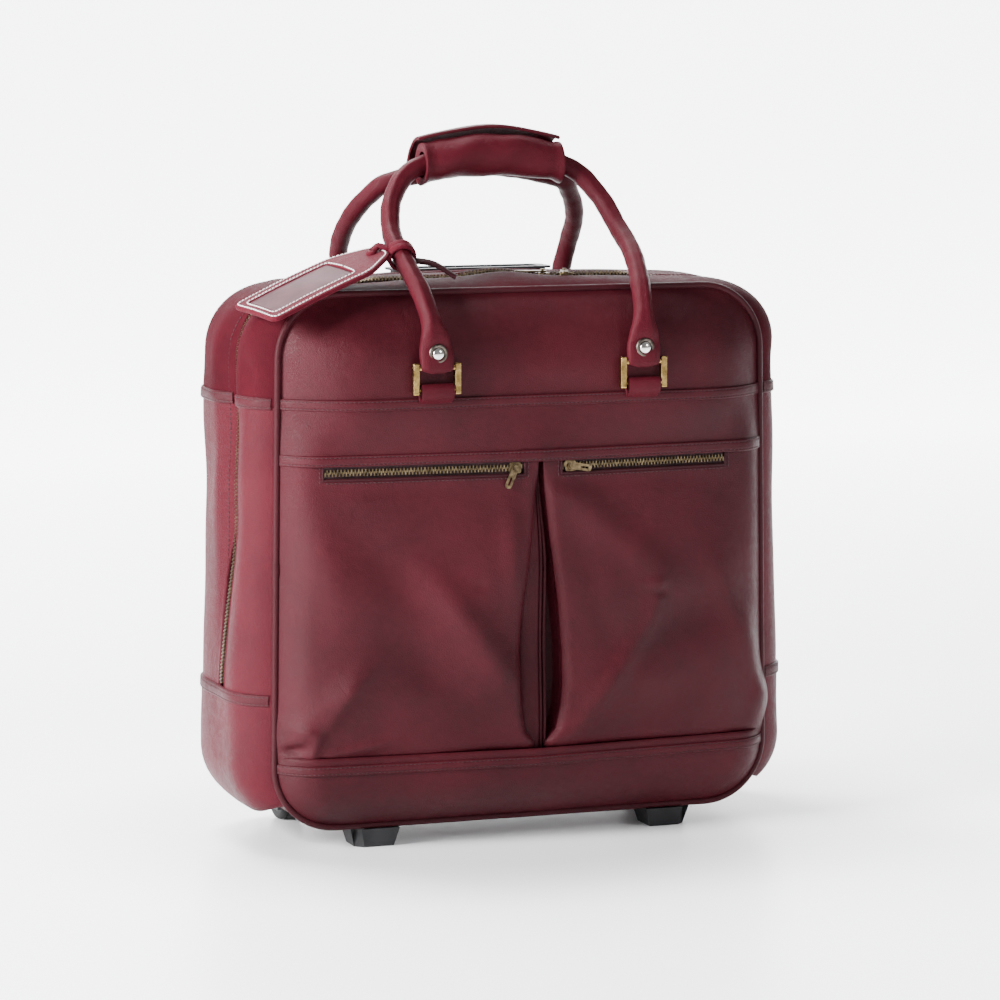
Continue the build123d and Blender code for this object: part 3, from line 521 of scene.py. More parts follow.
# ---------------------------------------------------------------- gusset
def gusset_out(x, z, nx, nz, y):
    """How far the gusset stands out of the piping outline at depth y."""
    t = np.clip((y - FRONT_Y) / DEPTH, 0, 1)
    body = (1 - np.abs(2 * t - 1) ** 5) ** 0.9
    side = SIDE_BULGE * body
    side = side - 3.5 * np.exp(-((z - 240) / 80) ** 2 - ((y - 45) / 26) ** 2)
    side = side + ripple(y * 1.5, z, 1.3, 30.0, 1.1) * body
    puff = 4.5 + 4.2 * np.exp(-(np.abs(x) / 115) ** 4) + hump(x, y, (-5, -14), (27, 26), 4.6)
    top = (puff + ripple(x, y, 2.1, 24.0, 0.5)) * body
    out = side * nx ** 2 + np.where(nz > 0, top, 1.0 * body) * nz ** 2
    sunk = 12.0 * step(z, 120, 262) * np.abs(nx) ** 3 + 1.0 * np.clip(nz, 0, 1)
    slope = np.where(y < ZIP_Y, 9.0 + 15.0 * np.abs(nx), 9.0 + 4.0 * np.abs(nx))
    out = out - sunk * np.exp(-((y - ZIP_Y) / slope) ** 2)
    dent = np.exp(-((z - 364) / 17) ** 2 - ((y - FRONT_Y - 20) / 9) ** 2)
    out = out - 5.0 * dent * np.abs(nx) * np.where(x < 0, 1.0, 0.35)
    out = out + hump(y, z, (FRONT_Y + 37, 352), (9, 30), 3.0) * np.abs(nx)
    lip = np.exp(-((y - ZIP_Y + 8.0) / 6.5) ** 2) * (1 - step(np.abs(x), 95, 130))
    out = out - 3.8 * lip * np.clip(nz, 0, 1)
    return np.where(nz < -0.6, np.minimum(out, 1.2), out)


def gusset_at(s, y, lift=0.0):
    s, y = np.broadcast_arrays(np.asarray(s, float), np.asarray(y, float))
    x, z, nx, nz = outline_at(s)
    out = gusset_out(x, z, nx, nz, y) + lift
    return np.stack([x + nx * out, y, z + nz * out], axis=-1)


def gusset_strip(name, s0, s1, depths, body="case", lift=0.0, turned=None, replaces=(), mat=hide, pitch=4.0):
    """Leather strip of the gusset; turned names the edge (0 first, -1 last) rolled in at the zip."""
    count = int(abs(s1 - s0) / pitch) + 2
    s = np.linspace(s0, s1, count)
    height, facing = outline_at(s)[1], np.abs(outline_at(s)[2])
    opened = (1 - step(height, 205, 240)) * facing * (turned is not None)
    shut = step(height, 222, 252) * (1 - step(height, 385, 405)) * facing * (turned is not None)
    rows = []
    for y in depths:
        way = -1.0 if y < ZIP_Y else 1.0
        away = way * np.exp(-((y - ZIP_Y) / 14.0) ** 2) * (3.6 * opened - 3.6 * shut)
        rows.append(gusset_at(s, y + away, lift))
    if turned is not None:
        way = 1.0 if turned == -1 else -1.0
        edge = rows[turned][:, 1]
        rolled = [gusset_at(s, edge, lift + drop) + np.array((0, way * shift, 0))
                  for drop, shift in ((0.5, 0.6), (0.1, 1.4), (-1.2, 1.9), (-3.2, 1.7))]
        rows = rows + rolled if turned == -1 else rolled[::-1] + rows
    return sheet_piece(name, np.array(rows), mat, body, "leather", replaces, flip=True)


def spaced(a, b, edge, count):
    """Depths from a to b, close together near the end that edge names (0 or -1, or both)."""
    t = np.linspace(0, 1, count)
    if edge == 0:
        t = t ** 1.7
    if edge == -1:
        t = 1 - (1 - t) ** 1.7
    return list(a + (b - a) * t)


UP_R, UP_L = where(1, UPPER_SEAM_Z), where(-1, UPPER_SEAM_Z)
LOW_R, LOW_L = where(1, BASE_SEAM_Z), where(-1, BASE_SEAM_Z)
ZIP_GAP = 3.4
front_part = spaced(FRONT_Y + 0.6, ZIP_Y - ZIP_GAP - 1.9, 0, 20)
rear_part = spaced(ZIP_Y + ZIP_GAP + 1.9, REAR_Y - 0.6, -1, 28)
LAP = 3.0
gusset_strip("crown_front", UP_R - LAP, UP_L + LAP, front_part, turned=-1,
             replaces=("top_gusset_front",), lift=0.5, mat=hide_crown)
crown_rear = gusset_strip("crown_rear", UP_R - LAP, UP_L + LAP, rear_part, turned=0,
                          replaces=("top_gusset_rear",), lift=0.5, mat=hide_crown)
# Sides and boot use the lighter side leather copies: painted light on the lit sides
gusset_strip("side_front_right", LOW_R - LAP, UP_R + LAP, front_part, turned=-1,
             replaces=("side_gussets",), mat=hide_side_lit)
gusset_strip("side_rear_right", LOW_R - LAP, UP_R + LAP, rear_part, turned=0, mat=hide_pebble_lit)
gusset_strip("side_front_left", UP_L - LAP, LOW_L + LAP, front_part, turned=-1, mat=hide_side_lit)
gusset_strip("side_rear_left", UP_L - LAP, LOW_L + LAP, rear_part, turned=0, mat=hide_pebble_lit)
boot_depths = spaced(FRONT_Y + 0.6, MID_Y, 0, 24) + spaced(MID_Y, REAR_Y - 0.6, -1, 24)[1:]
boot = gusset_strip("base_boot_skin", LOW_L, LOW_R + ROUND, boot_depths, lift=0.8,
                    replaces=("base_boot",), mat=hide_side_lit)


def bake(piece):
    """Apply the modifiers of a piece to its mesh."""
    graph = bpy.context.evaluated_depsgraph_get()
    mesh = bpy.data.meshes.new_from_object(piece.evaluated_get(graph), depsgraph=graph)
    piece.modifiers.clear()
    piece.data = mesh


def cut_boxes(piece, boxes, radius=3.0):
    """Cut rounded boxes out of a piece and apply the result."""
    cutters = []
    for low, high in boxes:
        mesh = bpy.data.meshes.new("cutter")
        shape = bmesh.new()
        bmesh.ops.create_cube(shape, size=1.0)
        for vert in shape.verts:
            vert.co = Vector([(l + (c + 0.5) * (h - l)) * MM for c, l, h in zip(vert.co, low, high)])
        bmesh.ops.bevel(shape, geom=shape.edges[:], offset=radius * MM, segments=3, profile=0.5, affect="EDGES")
        shape.to_mesh(mesh)
        shape.free()
        cutter = bpy.data.objects.new("cutter", mesh)
        bpy.context.scene.collection.objects.link(cutter)
        cutters.append(cutter)
        cut = piece.modifiers.new("cut", "BOOLEAN")
        cut.operation = "DIFFERENCE"
        cut.solver = "EXACT"
        cut.object = cutter
    bpy.context.view_layer.update()
    bake(piece)
    for cutter in cutters:
        bpy.data.objects.remove(cutter)
    for poly in piece.data.polygons:
        poly.use_smooth = True


HOUSING_WIDTH = 35.5


def wheel_wells(side_gap=0.3, gap=0.4):
    """The two boxes at the rear corners that the wheel housings fill."""
    low, high = limits("wheel_housings")
    boxes = []
    for side in (-1, 1):
        x0, x1 = sorted((side * (high[0] - HOUSING_WIDTH - side_gap), side * (high[0] + side_gap)))
        boxes.append(((x0, low[1] - gap, -5.0), (x1, high[1] + 20, high[2] + gap)))
    return boxes


tray_low, tray_high = limits("trolley_tray")
cut_boxes(crown_rear, [((tray_low[0] + 4, tray_low[1] + 3, 405), (tray_high[0] - 4, tray_high[1] - 3, 450)),
                       ((-105, TOP_ZIP_Y - 3.6, 424), (105, TOP_ZIP_Y + 3.6, 450))], radius=2.0)
cut_boxes(boot, wheel_wells())


# ---------------------------------------------------------------- front and rear skins
def crown(x, z):
    side = rise(half_width(z) - np.abs(x), 70)
    edge = rise(half_width(z) - np.abs(x), 10, 2.0)
    return FRONT_CROWN * side * (0.35 + 0.65 * edge) * rise(HIGH - z, 62) * rise(z - LOW, 46)


def turned_front(x, z):
    """Pocket level: highest at the pleat, falling away to both sides."""
    level = 36.6 - 0.0787 * np.abs(x)
    return level * rise(half_width(z) - np.abs(x), 34, 2.6) * rise(z - LOW, 46)


def front_out(x, z):
    """How far the front stands out of the plane of its piping."""
    w = step(z, BAND_SEAM_Z - 4, UPPER_SEAM_Z - 4)
    out = crown(x, z) * w + turned_front(x, z) * (1 - w)
    inner = rise(half_width(z) - np.abs(x), 40) * rise(HIGH - z, 34)
    soft = ripple(x, z, 0.7, 33.0, 0.55) + fold(x, z, (-150, 392), (-95, 372), 12, 1.4)
    for at, size, height in (((0, 392), (34, 17), -1.6), ((20, 366), (26, 12), 1.0), ((125, 398), (20, 22), 1.4)):
        soft = soft + hump(x, z, at, size, height)
    return out + soft * inner * step(z, UPPER_SEAM_Z - 30, UPPER_SEAM_Z + 16)


def front_point(x, z, extra=0.0):
    return np.stack([x, FRONT_Y - front_out(x, z) - extra, z], axis=-1)


def corner_rows(z0, z1, straight, rounded):
    """Heights between z0 and z1, close together where the outline turns a corner."""
    if z1 > HIGH - CORNER:
        knee = HIGH - CORNER
        turn = knee + CORNER * np.sin(np.linspace(0, math.pi / 2, rounded))
        return np.concatenate([np.linspace(z0, knee, straight), turn[1:]])
    if z0 < LOW + CORNER:
        knee = LOW + CORNER
        turn = knee - CORNER * np.sin(np.linspace(math.pi / 2, 0, rounded))
        return np.concatenate([turn[:-1], np.linspace(knee, z1, straight)])
    return np.linspace(z0, z1, straight)


def panel_grid(point, zs, cols, edge=0.3):
    u = np.sin(np.linspace(-1, 1, cols) * math.pi / 2 * 0.92) / math.sin(math.pi / 2 * 0.92)
    rows = []
    for z in zs:
        x = u * (half_width(z) - edge)
        rows.append(point(x, np.full_like(x, z)))
    return np.array(rows)


sheet_piece("front_upper_skin", panel_grid(front_point, corner_rows(UPPER_SEAM_Z - 2, HIGH, 14, 26), 150),
            hide, "case", "leather", ("front_upper_panel",))
band_zs = np.linspace(BAND_SEAM_Z - 2, UPPER_SEAM_Z + 1, 18)
sheet_piece("front_band_skin", panel_grid(lambda x, z: front_point(x, z, 0.9), band_zs, 150),
            hide, "case", "leather", ("front_band",))
sheet_piece("front_lower_skin", panel_grid(front_point, corner_rows(LOW, POCKET_LOW_Z + 5, 4, 24), 150),
            hide, "case", "leather", ("front_lower_band",))


def pocket_back_point(x, z):
    return np.stack([x, FRONT_Y - 17 * rise(half_width(z) - np.abs(x), 40), z], -1)


# The recessed pocket back takes the darker edge leather: painted shade in the recess
sheet_piece("pocket_back_skin", panel_grid(pocket_back_point, np.linspace(POCKET_LOW_Z, BAND_SEAM_Z, 20), 60),
            hide_edge_and_recess_shade, "case", "leather", ("pocket_back_panel",))


def rear_point(x, z):
    inward = half_width(z) - np.abs(x)
    out = REAR_CROWN * rise(inward, 48) * rise(HIGH - z, 44) * rise(z - LOW, 34)
    soft = ripple(x, z, 4.4, 42.0, 0.6) * rise(inward, 40) * rise(HIGH - z, 40) * rise(z - LOW, 30)
    return np.stack([x, REAR_Y + out + soft, z], axis=-1)


rear_zs = np.concatenate([corner_rows(LOW, LOW + CORNER, 2, 24), corner_rows(LOW + CORNER + 6, HIGH, 50, 24)])
rear_skin = sheet_piece("rear_panel_skin", panel_grid(rear_point, rear_zs, 120), hide, "case", "leather",
                        ("rear_panel",), flip=True)
cut_boxes(rear_skin, wheel_wells())


# ---------------------------------------------------------------- fold seams with their stitching
def seam_band(name, point, along, height, body="case", lift=1.3, mat=hide, rows=(0.2, 0.8), pitch=3.4):
    """Raised folded band: point(along, across, lift) gives its surface; across runs 0 to 1."""
    across = np.array([0, 0.03, 0.08, 0.16, 0.2, 0.24, 0.38, 0.5, 0.62, 0.76, 0.8, 0.84, 0.92, 0.97, 1.0])
    shape = np.array([-1.2, 0.35, 0.8, 0.95, 0.62, 0.97, 1.0, 1.0, 1.0, 0.97, 0.62, 0.95, 0.8, 0.35, -1.2])
    grid = np.array([point(along, t, lift * h) for t, h in zip(across, shape)])
    make_mesh(name, *surface(grid), mat, body, "leather")
    lines = []
    for t in rows:
        line = point(along, t, lift * 0.72)
        above = point(along, t, lift * 0.72 + 1.0)
        lines.append((line, above - line))
    stitches(f"{name}_thread", lines, thread, body, pitch=pitch, length=pitch * 0.7)


def front_seam(z_mid, height, extra=0.9, surface=front_out, reach=0.4):
    def point(x, t, lift):
        z = np.full_like(x, z_mid + (t - 0.5) * height)
        limit = half_width(z) - reach
        x = np.clip(x, -limit, limit)
        return np.stack([x, FRONT_Y - surface(x, z) - extra - lift, z], axis=-1)
    return point


span = np.linspace(-HALF - FLARE, HALF + FLARE, 200)
seam_band("upper_fold", front_seam(UPPER_SEAM_Z, 9.0), span, 9.0)
seam_band("pocket_fold_left", front_seam(BAND_SEAM_Z, 9.0, 1.0), np.linspace(-HALF - FLARE, -10, 100), 9.0)
seam_band("pocket_fold_right", front_seam(BAND_SEAM_Z, 9.6, 1.8), np.linspace(-16, HALF + FLARE, 100), 9.6)
seam_band("lower_fold", front_seam(POCKET_LOW_Z - 4.5, 8.0, 0.6), span, 8.0)


def side_seam(s_mid, height):
    def point(y, t, lift):
        return gusset_at(s_mid + (t - 0.5) * height, y, 0.9 + lift)
    return point


wide = 9.5
for name, s_mid in (("crown_fold_right", UP_R), ("crown_fold_left", UP_L),
                    ("boot_fold_right", LOW_R), ("boot_fold_left", LOW_L)):
    if name.startswith("crown"):
        front_ys = np.linspace(FRONT_Y + 1.5, ZIP_Y - ZIP_GAP - 0.6, 36)
        rear_ys = np.linspace(ZIP_Y + ZIP_GAP + 0.6, REAR_Y - 1.5, 50)
        seam_band(f"{name}_front", side_seam(s_mid, wide), front_ys, wide)
        seam_band(f"{name}_rear", side_seam(s_mid, wide), rear_ys, wide)
    else:
        seam_band(name, side_seam(s_mid, wide), np.linspace(FRONT_Y + 1.5, REAR_Y - 1.5, 90), wide)


# ---------------------------------------------------------------- piping
def piping_ring(y, radius=2.7, s0=0.0, s1=None, closed=True):
    s = np.linspace(s0, ROUND if s1 is None else s1, 520 if s1 is None else 14, endpoint=not closed)
    x, z, nx, nz = outline_at(s)
    rings = []
    for k in range(len(s)):
        out = np.array((nx[k], 0, nz[k]))
        mid = np.array((x[k], y, z[k])) + out * 0.6
        rings.append([mid + radius * (out * math.cos(a) + np.array((0, 1, 0)) * math.sin(a))
                      for a in np.linspace(0, 2 * math.pi, 14, endpoint=False)])
    return surface(rings, closed, True, flip=True)


joint_left = where(-1, 222.0)
piping_joint = piping_ring(FRONT_Y - 0.4, 3.15, joint_left, joint_left + 9.0, False)
verts, faces = join_parts([piping_ring(FRONT_Y - 0.4), piping_joint])
make_mesh("front_piping", verts, faces, hide_cord, "case", "piping", ("piping",))
rear_piping = make_mesh("rear_piping", *piping_ring(REAR_Y + 0.4), hide_cord, "case", "piping")
cut_boxes(rear_piping, wheel_wells())


# ---------------------------------------------------------------- zips
def tooth(centre, along, across, up, side, reach, size):
    """One zip tooth: a rounded nib from the tape edge to just past the middle."""
    verts = []
    for lift, shrink, shorten in ((0.0, 1.0, 1.0), (size[1] * 0.7, 1.0, 1.0), (size[1], 0.62, 0.94)):
        for a, b in ((-1, -0.25), (1, -0.25), (1, 1), (-1, 1)):
            verts.append(centre + along * a * size[0] / 2 * shrink + across * side * (b * reach * shorten)
                         + up * lift)
    faces = grid_faces(3, 4, False, True) + [(8, 9, 10, 11), (3, 2, 1, 0)]
    return verts, faces


def teeth_along(points, ups, pitch=2.9, reach=2.9, size=(1.1, 1.6)):
    """Teeth from both tapes in turn, all along a closed zip."""
    along = run_along(points)
    parts = []
    for k in range(int(along[-1] / pitch * 2)):
        at = (k + 0.5) * pitch / 2
        behind, spot, ahead = look_up([at - 0.8, at, at + 0.8], along, points)
        up = unit(look_up(at, along, ups))
        run = unit(ahead - behind)
        across = unit(np.cross(up, run))
        parts.append(tooth(spot, run, across, up, 1 if k % 2 else -1, reach, size))
    return parts


def tape_strip(points, ups, half, sink=0.4):
    rows = []
    for offset in np.linspace(-half, half, 9):
        row = []
        for k in range(len(points)):
            run = unit(points[min(k + 1, len(points) - 1)] - points[max(k - 1, 0)])
            row.append(points[k] + unit(np.cross(ups[k], run)) * offset - ups[k] * (sink + 0.02 * offset ** 2))
        rows.append(row)
    return surface(rows)


ZIP_END = 7.0
zip_s = np.linspace(LOW_R + ZIP_END, LOW_L - ZIP_END, 500)
zx, zz, znx, znz = outline_at(zip_s)
lean = 0.55 * (1 - step(np.abs(zx), 95, 125)) * np.clip(znz, 0, 1)
zip_ups = np.stack([znx, -lean, znz * np.sqrt(1 - lean ** 2)], axis=-1)
slider_low, _ = limits("main_slider_left")
zip_line = gusset_at(zip_s, ZIP_Y, -0.6)
level = slider_low[2] + 0.45
flat = step(np.abs(zx), 28, 36) * (1 - step(np.abs(zx), 98, 125)) * np.clip(znz, 0, 1)
zip_line[:, 2] += flat * (level - zip_line[:, 2])
crown_s = np.linspace(UP_R, UP_L, 900)
top_line = gusset_at(np.interp(np.linspace(103, -103, 60), -outline_at(crown_s)[0], crown_s), TOP_ZIP_Y, -1.6)
top_ups = np.tile((0.0, 0.0, 1.0), (len(top_line), 1))
make_mesh("body_zip_cloth", *join_parts([tape_strip(zip_line, zip_ups, 7.5), tape_strip(top_line, top_ups, 5.0)]),
          tape_cloth, "case", "zip_tape", ("body_zip_tapes",))
body_teeth = teeth_along(zip_line, zip_ups) + teeth_along(top_line, top_ups, reach=2.3)
make_mesh("body_zip_metal", *join_parts(body_teeth), zip_brass, "case", "antique_brass",
          ("body_zip_teeth",), smooth=False)
lips = []
for y, way in ((ZIP_Y - ZIP_GAP - 4.2, -1), (ZIP_Y + ZIP_GAP + 4.6, 1)):
    line = gusset_at(zip_s, y, 0.1 + 0.5 * (np.abs(zx) < HALF))
    lips.append((line, zip_ups))
stitches("body_zip_thread", lips, thread, "case", pitch=3.6, length=2.5)


# ---------------------------------------------------------------- pockets
WINDOW_Z = (286.8, 297.2)


def pocket_edges(side, z):
    """Inner and outer edge of a pocket at height z, as distances from the middle."""
    heights = [70, 80, 89, 106, 125, 151, 183, 212, 249, 275, 301]
    inner = [1, 3, 10, 13.5, 15, 15, 12, 7.5, 3.5, 1.8, 1.2] if side < 0 else \
            [4, 7, 15, 19, 20.5, 20, 17, 13, 8, 4.6, 2.2]
    near = np.interp(z, heights, inner)
    far = half_width(z) - 0.6
    if side > 0:
        far = far + 6.5 * np.exp(-((z - 99) / 20) ** 2)
    else:
        far = far + 1.6 * np.exp(-((z - 92) / 14) ** 2)
    return near, far


# start, end, width and height of each soft fold; place, size and height of each bump or dimple
POCKET_FOLDS = {
    -1: (((-82, 205), (-12, 112), 13, 5.2), ((-112, 168), (-34, 92), 20, -4.2), ((-196, 84), (-138, 142), 11, 4.2),
         ((-24, 262), (-20, 192), 9, 2.6), ((-150, 250), (-88, 176), 17, -2.4), ((-176, 268), (-160, 190), 14, 2.2),
         ((-203, 101), (-176, 93), 5.0, 3.6), ((-174, 92), (-179, 72), 4.6, 3.4), ((-170, 96), (-146, 132), 6, 2.0),
         ((-176, 74), (-120, 86), 4.5, 2.4), ((-160, 70), (-60, 76), 5, 1.2)),
    1: (((18, 276), (104, 204), 15, 4.0), ((70, 150), (168, 182), 22, -4.6), ((24, 80), (92, 170), 9, 3.4),
        ((90, 160), (100, 206), 8, 2.4), ((150, 205), (200, 100), 13, 5.4), ((58, 84), (140, 120), 16, -2.2),
        ((30, 232), (60, 150), 14, -2.4), ((178, 255), (184, 190), 12, -1.6)),
}
POCKET_HUMPS = {
    -1: (((-49, 203), (5, 4), -0.9),),
    1: (((99, 192), (6, 3.5), -2.2), ((93, 199), (10, 3.5), 1.4), ((196, 101), (12, 14), 3.5)),
}


def pocket_relief(side, x, z):
    """Soft folds of the filled pocket, in front of its straight level."""
    belly = 8.5 * step(z, 76, 128) * (1 - step(z, 190, 292))
    near, far = pocket_edges(side, z)
    across = rise(np.abs(x) - near, 46) * rise(far - np.abs(x), 64)
    out = belly * across + 1.0
    for start, end, width, height in POCKET_FOLDS[side]:
        out = out + fold(x, z, start, end, width, height)
    for at, size, height in POCKET_HUMPS[side]:
        out = out + hump(x, z, at, size, height)
    if side < 0:
        out = out - 11.5 * np.exp(-((x + 191 - 0.5 * (z - 81)) / 8.0) ** 2 - ((z - 81) / 4.2) ** 2)
    calm = 1 - step(z, 268, 284)
    return 1.0 + (out - 1.0) * calm + ripple(x, z, 3.0 + side, 26.0, 0.45) * calm


def pocket_face(side, x, z):
    """Depth of a pocket's front at a place, with its round inner, outer and lower edges."""
    near, far = pocket_edges(side, z)
    level = (36.6 - 0.0787 * np.abs(x)) + pocket_relief(side, x, z)
    roll = rise(far - np.abs(x), 26, 3.2) * (0.6 + 0.4 * rise(far - np.abs(x), 70, 2.6))
    inner = np.abs(x) - near
    level = level - 4.5 * (1 - rise(inner, 7.0, 2.4)) * (1 - step(z, 272, 296))
    foot = 0.66 + 0.34 * rise(z - POCKET_LOW_Z, 15, 2.4)
    return FRONT_Y - 1.5 - (level - 1.5) * roll * foot


def pocket_skin(side, name, window_x, replaced):
    """Pocket front with a zip window, its wall at the pleat and its lap under the lower seam."""
    lo, hi = window_x
    spans = ((POCKET_LOW_Z - 0.2, POCKET_LOW_Z + 26, 22), (POCKET_LOW_Z + 28, WINDOW_Z[0], 84), (*WINDOW_Z, 5),
             (WINDOW_Z[1], BAND_SEAM_Z + 0.5, 4))
    zs = np.unique(np.round(np.concatenate([np.linspace(*span) for span in spans]), 4))
    window = sorted((abs(lo), abs(hi)))
    rows = []
    for z in zs:
        near, far = pocket_edges(side, z)
        a, b = window
        if z < WINDOW_Z[0] - 12:
            a = max(a, near + 4.0)
        inner = near + (a - near) * np.linspace(0, 1, 8) ** 1.5
        outer = b + (far - b) * (1 - (1 - np.linspace(0, 1, 26)) ** 1.6)
        reach = np.concatenate([inner, np.linspace(a, b, 96)[1:], outer[1:]])
        x = side * reach
        y = pocket_face(side, x, np.full_like(x, z))
        face = np.stack([x, y, np.full_like(x, z)], axis=-1)
        edge_y = y[0]
        wall_x = side * (near + np.array([0.25, 1.0, 0.2, -2.2, -4.0]) * min(1.0, near / 8.0))
        wall_y = edge_y + np.array([1.2, 3.6, 8.0, 14.0, 20.0])
        wall = np.stack([wall_x, wall_y, np.full(5, z)], axis=-1)
        rows.append(np.concatenate([wall[::-1], face]))
    grid = np.array(rows)
    count = grid.shape[1]
    first = 5 + 8 - 1
    last = first + 95
    low_row = int(np.argmin(np.abs(zs - WINDOW_Z[0])))
    high_row = int(np.argmin(np.abs(zs - WINDOW_Z[1])))
    faces = []
    for k, face in enumerate(grid_faces(grid.shape[0], count, flip=side < 0)):
        i, j = divmod(k, count - 1)
        if low_row <= i < high_row and first <= j < last:
            continue
        faces.append(face)
    piece = make_mesh(name, grid.reshape(-1, 3), faces, hide_soft, "case", "leather", replaced)
    thicken(piece, SKIN)
    bake(piece)
    return grid[low_row:high_row + 1, first:last + 1]


def window_frame(name, opening, side):
    """Turned-in edge of the zip window and the row of stitching round it."""
    border = np.concatenate([opening[0], opening[1:-1, -1], opening[-1][::-1], opening[1:-1, 0][::-1]])
    centre = border.mean(axis=0)
    half_length = abs(opening[0, -1, 0] - opening[0, 0, 0]) / 2
    half_height = (WINDOW_Z[1] - WINDOW_Z[0]) / 2
    inward = np.array([0, 1, 0])
    rings = []
    front_facing = (0.0, -1.0, 0.0)
    for out, deep in ((1.3, 0.1), (0.9, -0.75), (0.0, -1.0), (-0.75, -0.4), (-0.9, 1.0), (-0.8, 3.2)):
        ring = []
        for p in border:
            d = p - centre
            at_end = abs(abs(d[0]) - half_length) < 1.0
            at_edge = abs(abs(p[2] - sum(WINDOW_Z) / 2) - half_height) < 0.2
            push = np.array([np.sign(d[0]) * at_end, 0, np.sign(d[2]) * at_edge])
            ring.append(p + push * out + inward * deep)
        rings.append(ring)
    make_mesh(name, *surface(rings, False, True, flip=side < 0), hide_edge_and_recess_shade, "case", "leather")
    line = opening[0] + np.array([0, 0, -2.6])
    line[:, 1] = pocket_face(side, line[:, 0], line[:, 2]) - 0.15
    lines = [(line, np.tile(front_facing, (len(line), 1)))]
    for column, push in ((opening[:, 0], -np.sign(side) * 2.8), (opening[:, -1], np.sign(side) * 2.8)):
        tall = resample(np.array([column[0] + (push, -0.3, -2.6), column[-1] + (push, -0.3, 2.0)]), step=1.0)
        lines.append((tall, np.tile(front_facing, (len(tall), 1))))
    stitches(f"{name}_thread", lines, thread, "case", pitch=3.3, length=2.3)


pocket_zip_tape, pocket_zip_metal = [], []
for side, label, window_x in ((-1, "left", (-168.0, -12.0)), (1, "right", (18.0, 158.0))):
    opening = pocket_skin(side, f"{label}_pocket_skin", window_x, (f"{label}_pocket",))
    window_frame(f"{label}_zip_window", opening, side)
    middle_z = sum(WINDOW_Z) / 2
    xs = np.linspace(window_x[0] - 2.5, window_x[1] + 2.5, 50)
    line = np.stack([xs, -98.6 + 0.0787 * (np.abs(xs) - 20), np.full_like(xs, middle_z)], axis=-1)
    ups = np.tile((0.0, -1.0, 0.0), (50, 1))
    pocket_zip_tape.append(tape_strip(line, ups, 7.0))
    pocket_zip_metal += teeth_along(line[1:-1], ups[1:-1], pitch=2.7, reach=2.6)
make_mesh("pocket_zip_cloth", *join_parts(pocket_zip_tape), tape_cloth, "case", "zip_tape", ("pocket_zip_tapes",))
make_mesh("pocket_zip_metal", *join_parts(pocket_zip_metal), zip_brass, "case", "antique_brass",
          ("pocket_zip_teeth",), smooth=False)

# pleat between the pockets: folded strip, with a pair of corded seams down its middle
zs = np.linspace(POCKET_LOW_Z + 1, BAND_SEAM_Z - 1, 60)


def pleat_line(x, y):
    """One line down the pleat, which narrows towards its top."""
    narrow = 0.25 + 0.75 * step(BAND_SEAM_Z - zs, 0, 90)
    return np.stack([x * narrow, y + 1.2 * np.sin(zs * 0.05), zs], -1)


pleat_shape = [(-16, -80), (-14, -89), (-8, -91.5), (2, -91.5), (6.0, -90.5), (8.0, -88.5), (9.5, -84), (13, -80),
               (26, -79)]
grid = np.array([pleat_line(x, y) for x, y in pleat_shape]).transpose(1, 0, 2)
sheet_piece("pleat_skin", grid, hide_soft, "case", "leather", ("pleat_gusset",))
cords = [swept(pleat_line(x, -91.6), lambda k, t: circle(1.25, 10)) for x in (4.2, 7.4)]
make_mesh("pleat_cords", *join_parts(cords), hide_cord, "case", "leather")


# ---------------------------------------------------------------- handles
RING_LOW, RING_HIGH = 354.0, 370.0
RING_X = 83.5
HANDLE_R = 7.5


def handle_section(lengths, seam_angle, count=28):
    """Round grip that flattens into a rounded strap towards both ends."""
    def section(k, t):
        d = lengths[min(k, len(lengths) - 1 - k)]
        flat = 1 - step(d, 16, 44)
        close = rise(d + 0.6, 4.0, 2.0)
        half_a = HANDLE_R + (13.0 - HANDLE_R) * flat
        half_b = HANDLE_R + (4.3 - HANDLE_R) * flat
        wave = 1 + 0.018 * math.sin(d * 0.21) + 0.014 * math.sin(d * 0.47 + 1.0)
        ring = []
        for i in range(count):
            a = 2 * math.pi * i / count
            power = 1 - 0.42 * flat
            c, s = math.cos(a), math.sin(a)
            x = half_a * math.copysign(abs(c) ** power, c)
            y = half_b * math.copysign(abs(s) ** power, s)
            ridge = 1 + 0.13 * math.exp(-((a - seam_angle) / 0.2) ** 2)
            ridge -= 0.05 * math.exp(-((a - seam_angle - 0.5) / 0.16) ** 2)
            ring.append((x * wave * ridge * close, y * wave * ridge * close))
        return ring
    return section


def rolled_handle(name, leg, crest, ring_y, out, seam_angle):
    """Rolled leather handle whose two flat ends hang on the rings."""
    foot_points = [(RING_X, ring_y, RING_HIGH - 4.2), (RING_X, ring_y - out * 0.2, RING_HIGH + 6),
                   (RING_X + (leg[0][0] - RING_X) * 0.4, (ring_y + leg[0][1]) / 2, 385.0)]
    right = foot_points + leg
    path = [(-x, y, z) for x, y, z in right] + [crest] + right[::-1]
    path = resample(smooth_path(path, 900), count=240)
    shape = swept(path, handle_section(run_along(path), seam_angle), twist_axis=(0, -1, 0))
    make_mesh(f"{name}_roll", *shape, hide_roll, name, "handle_leather", (name,))


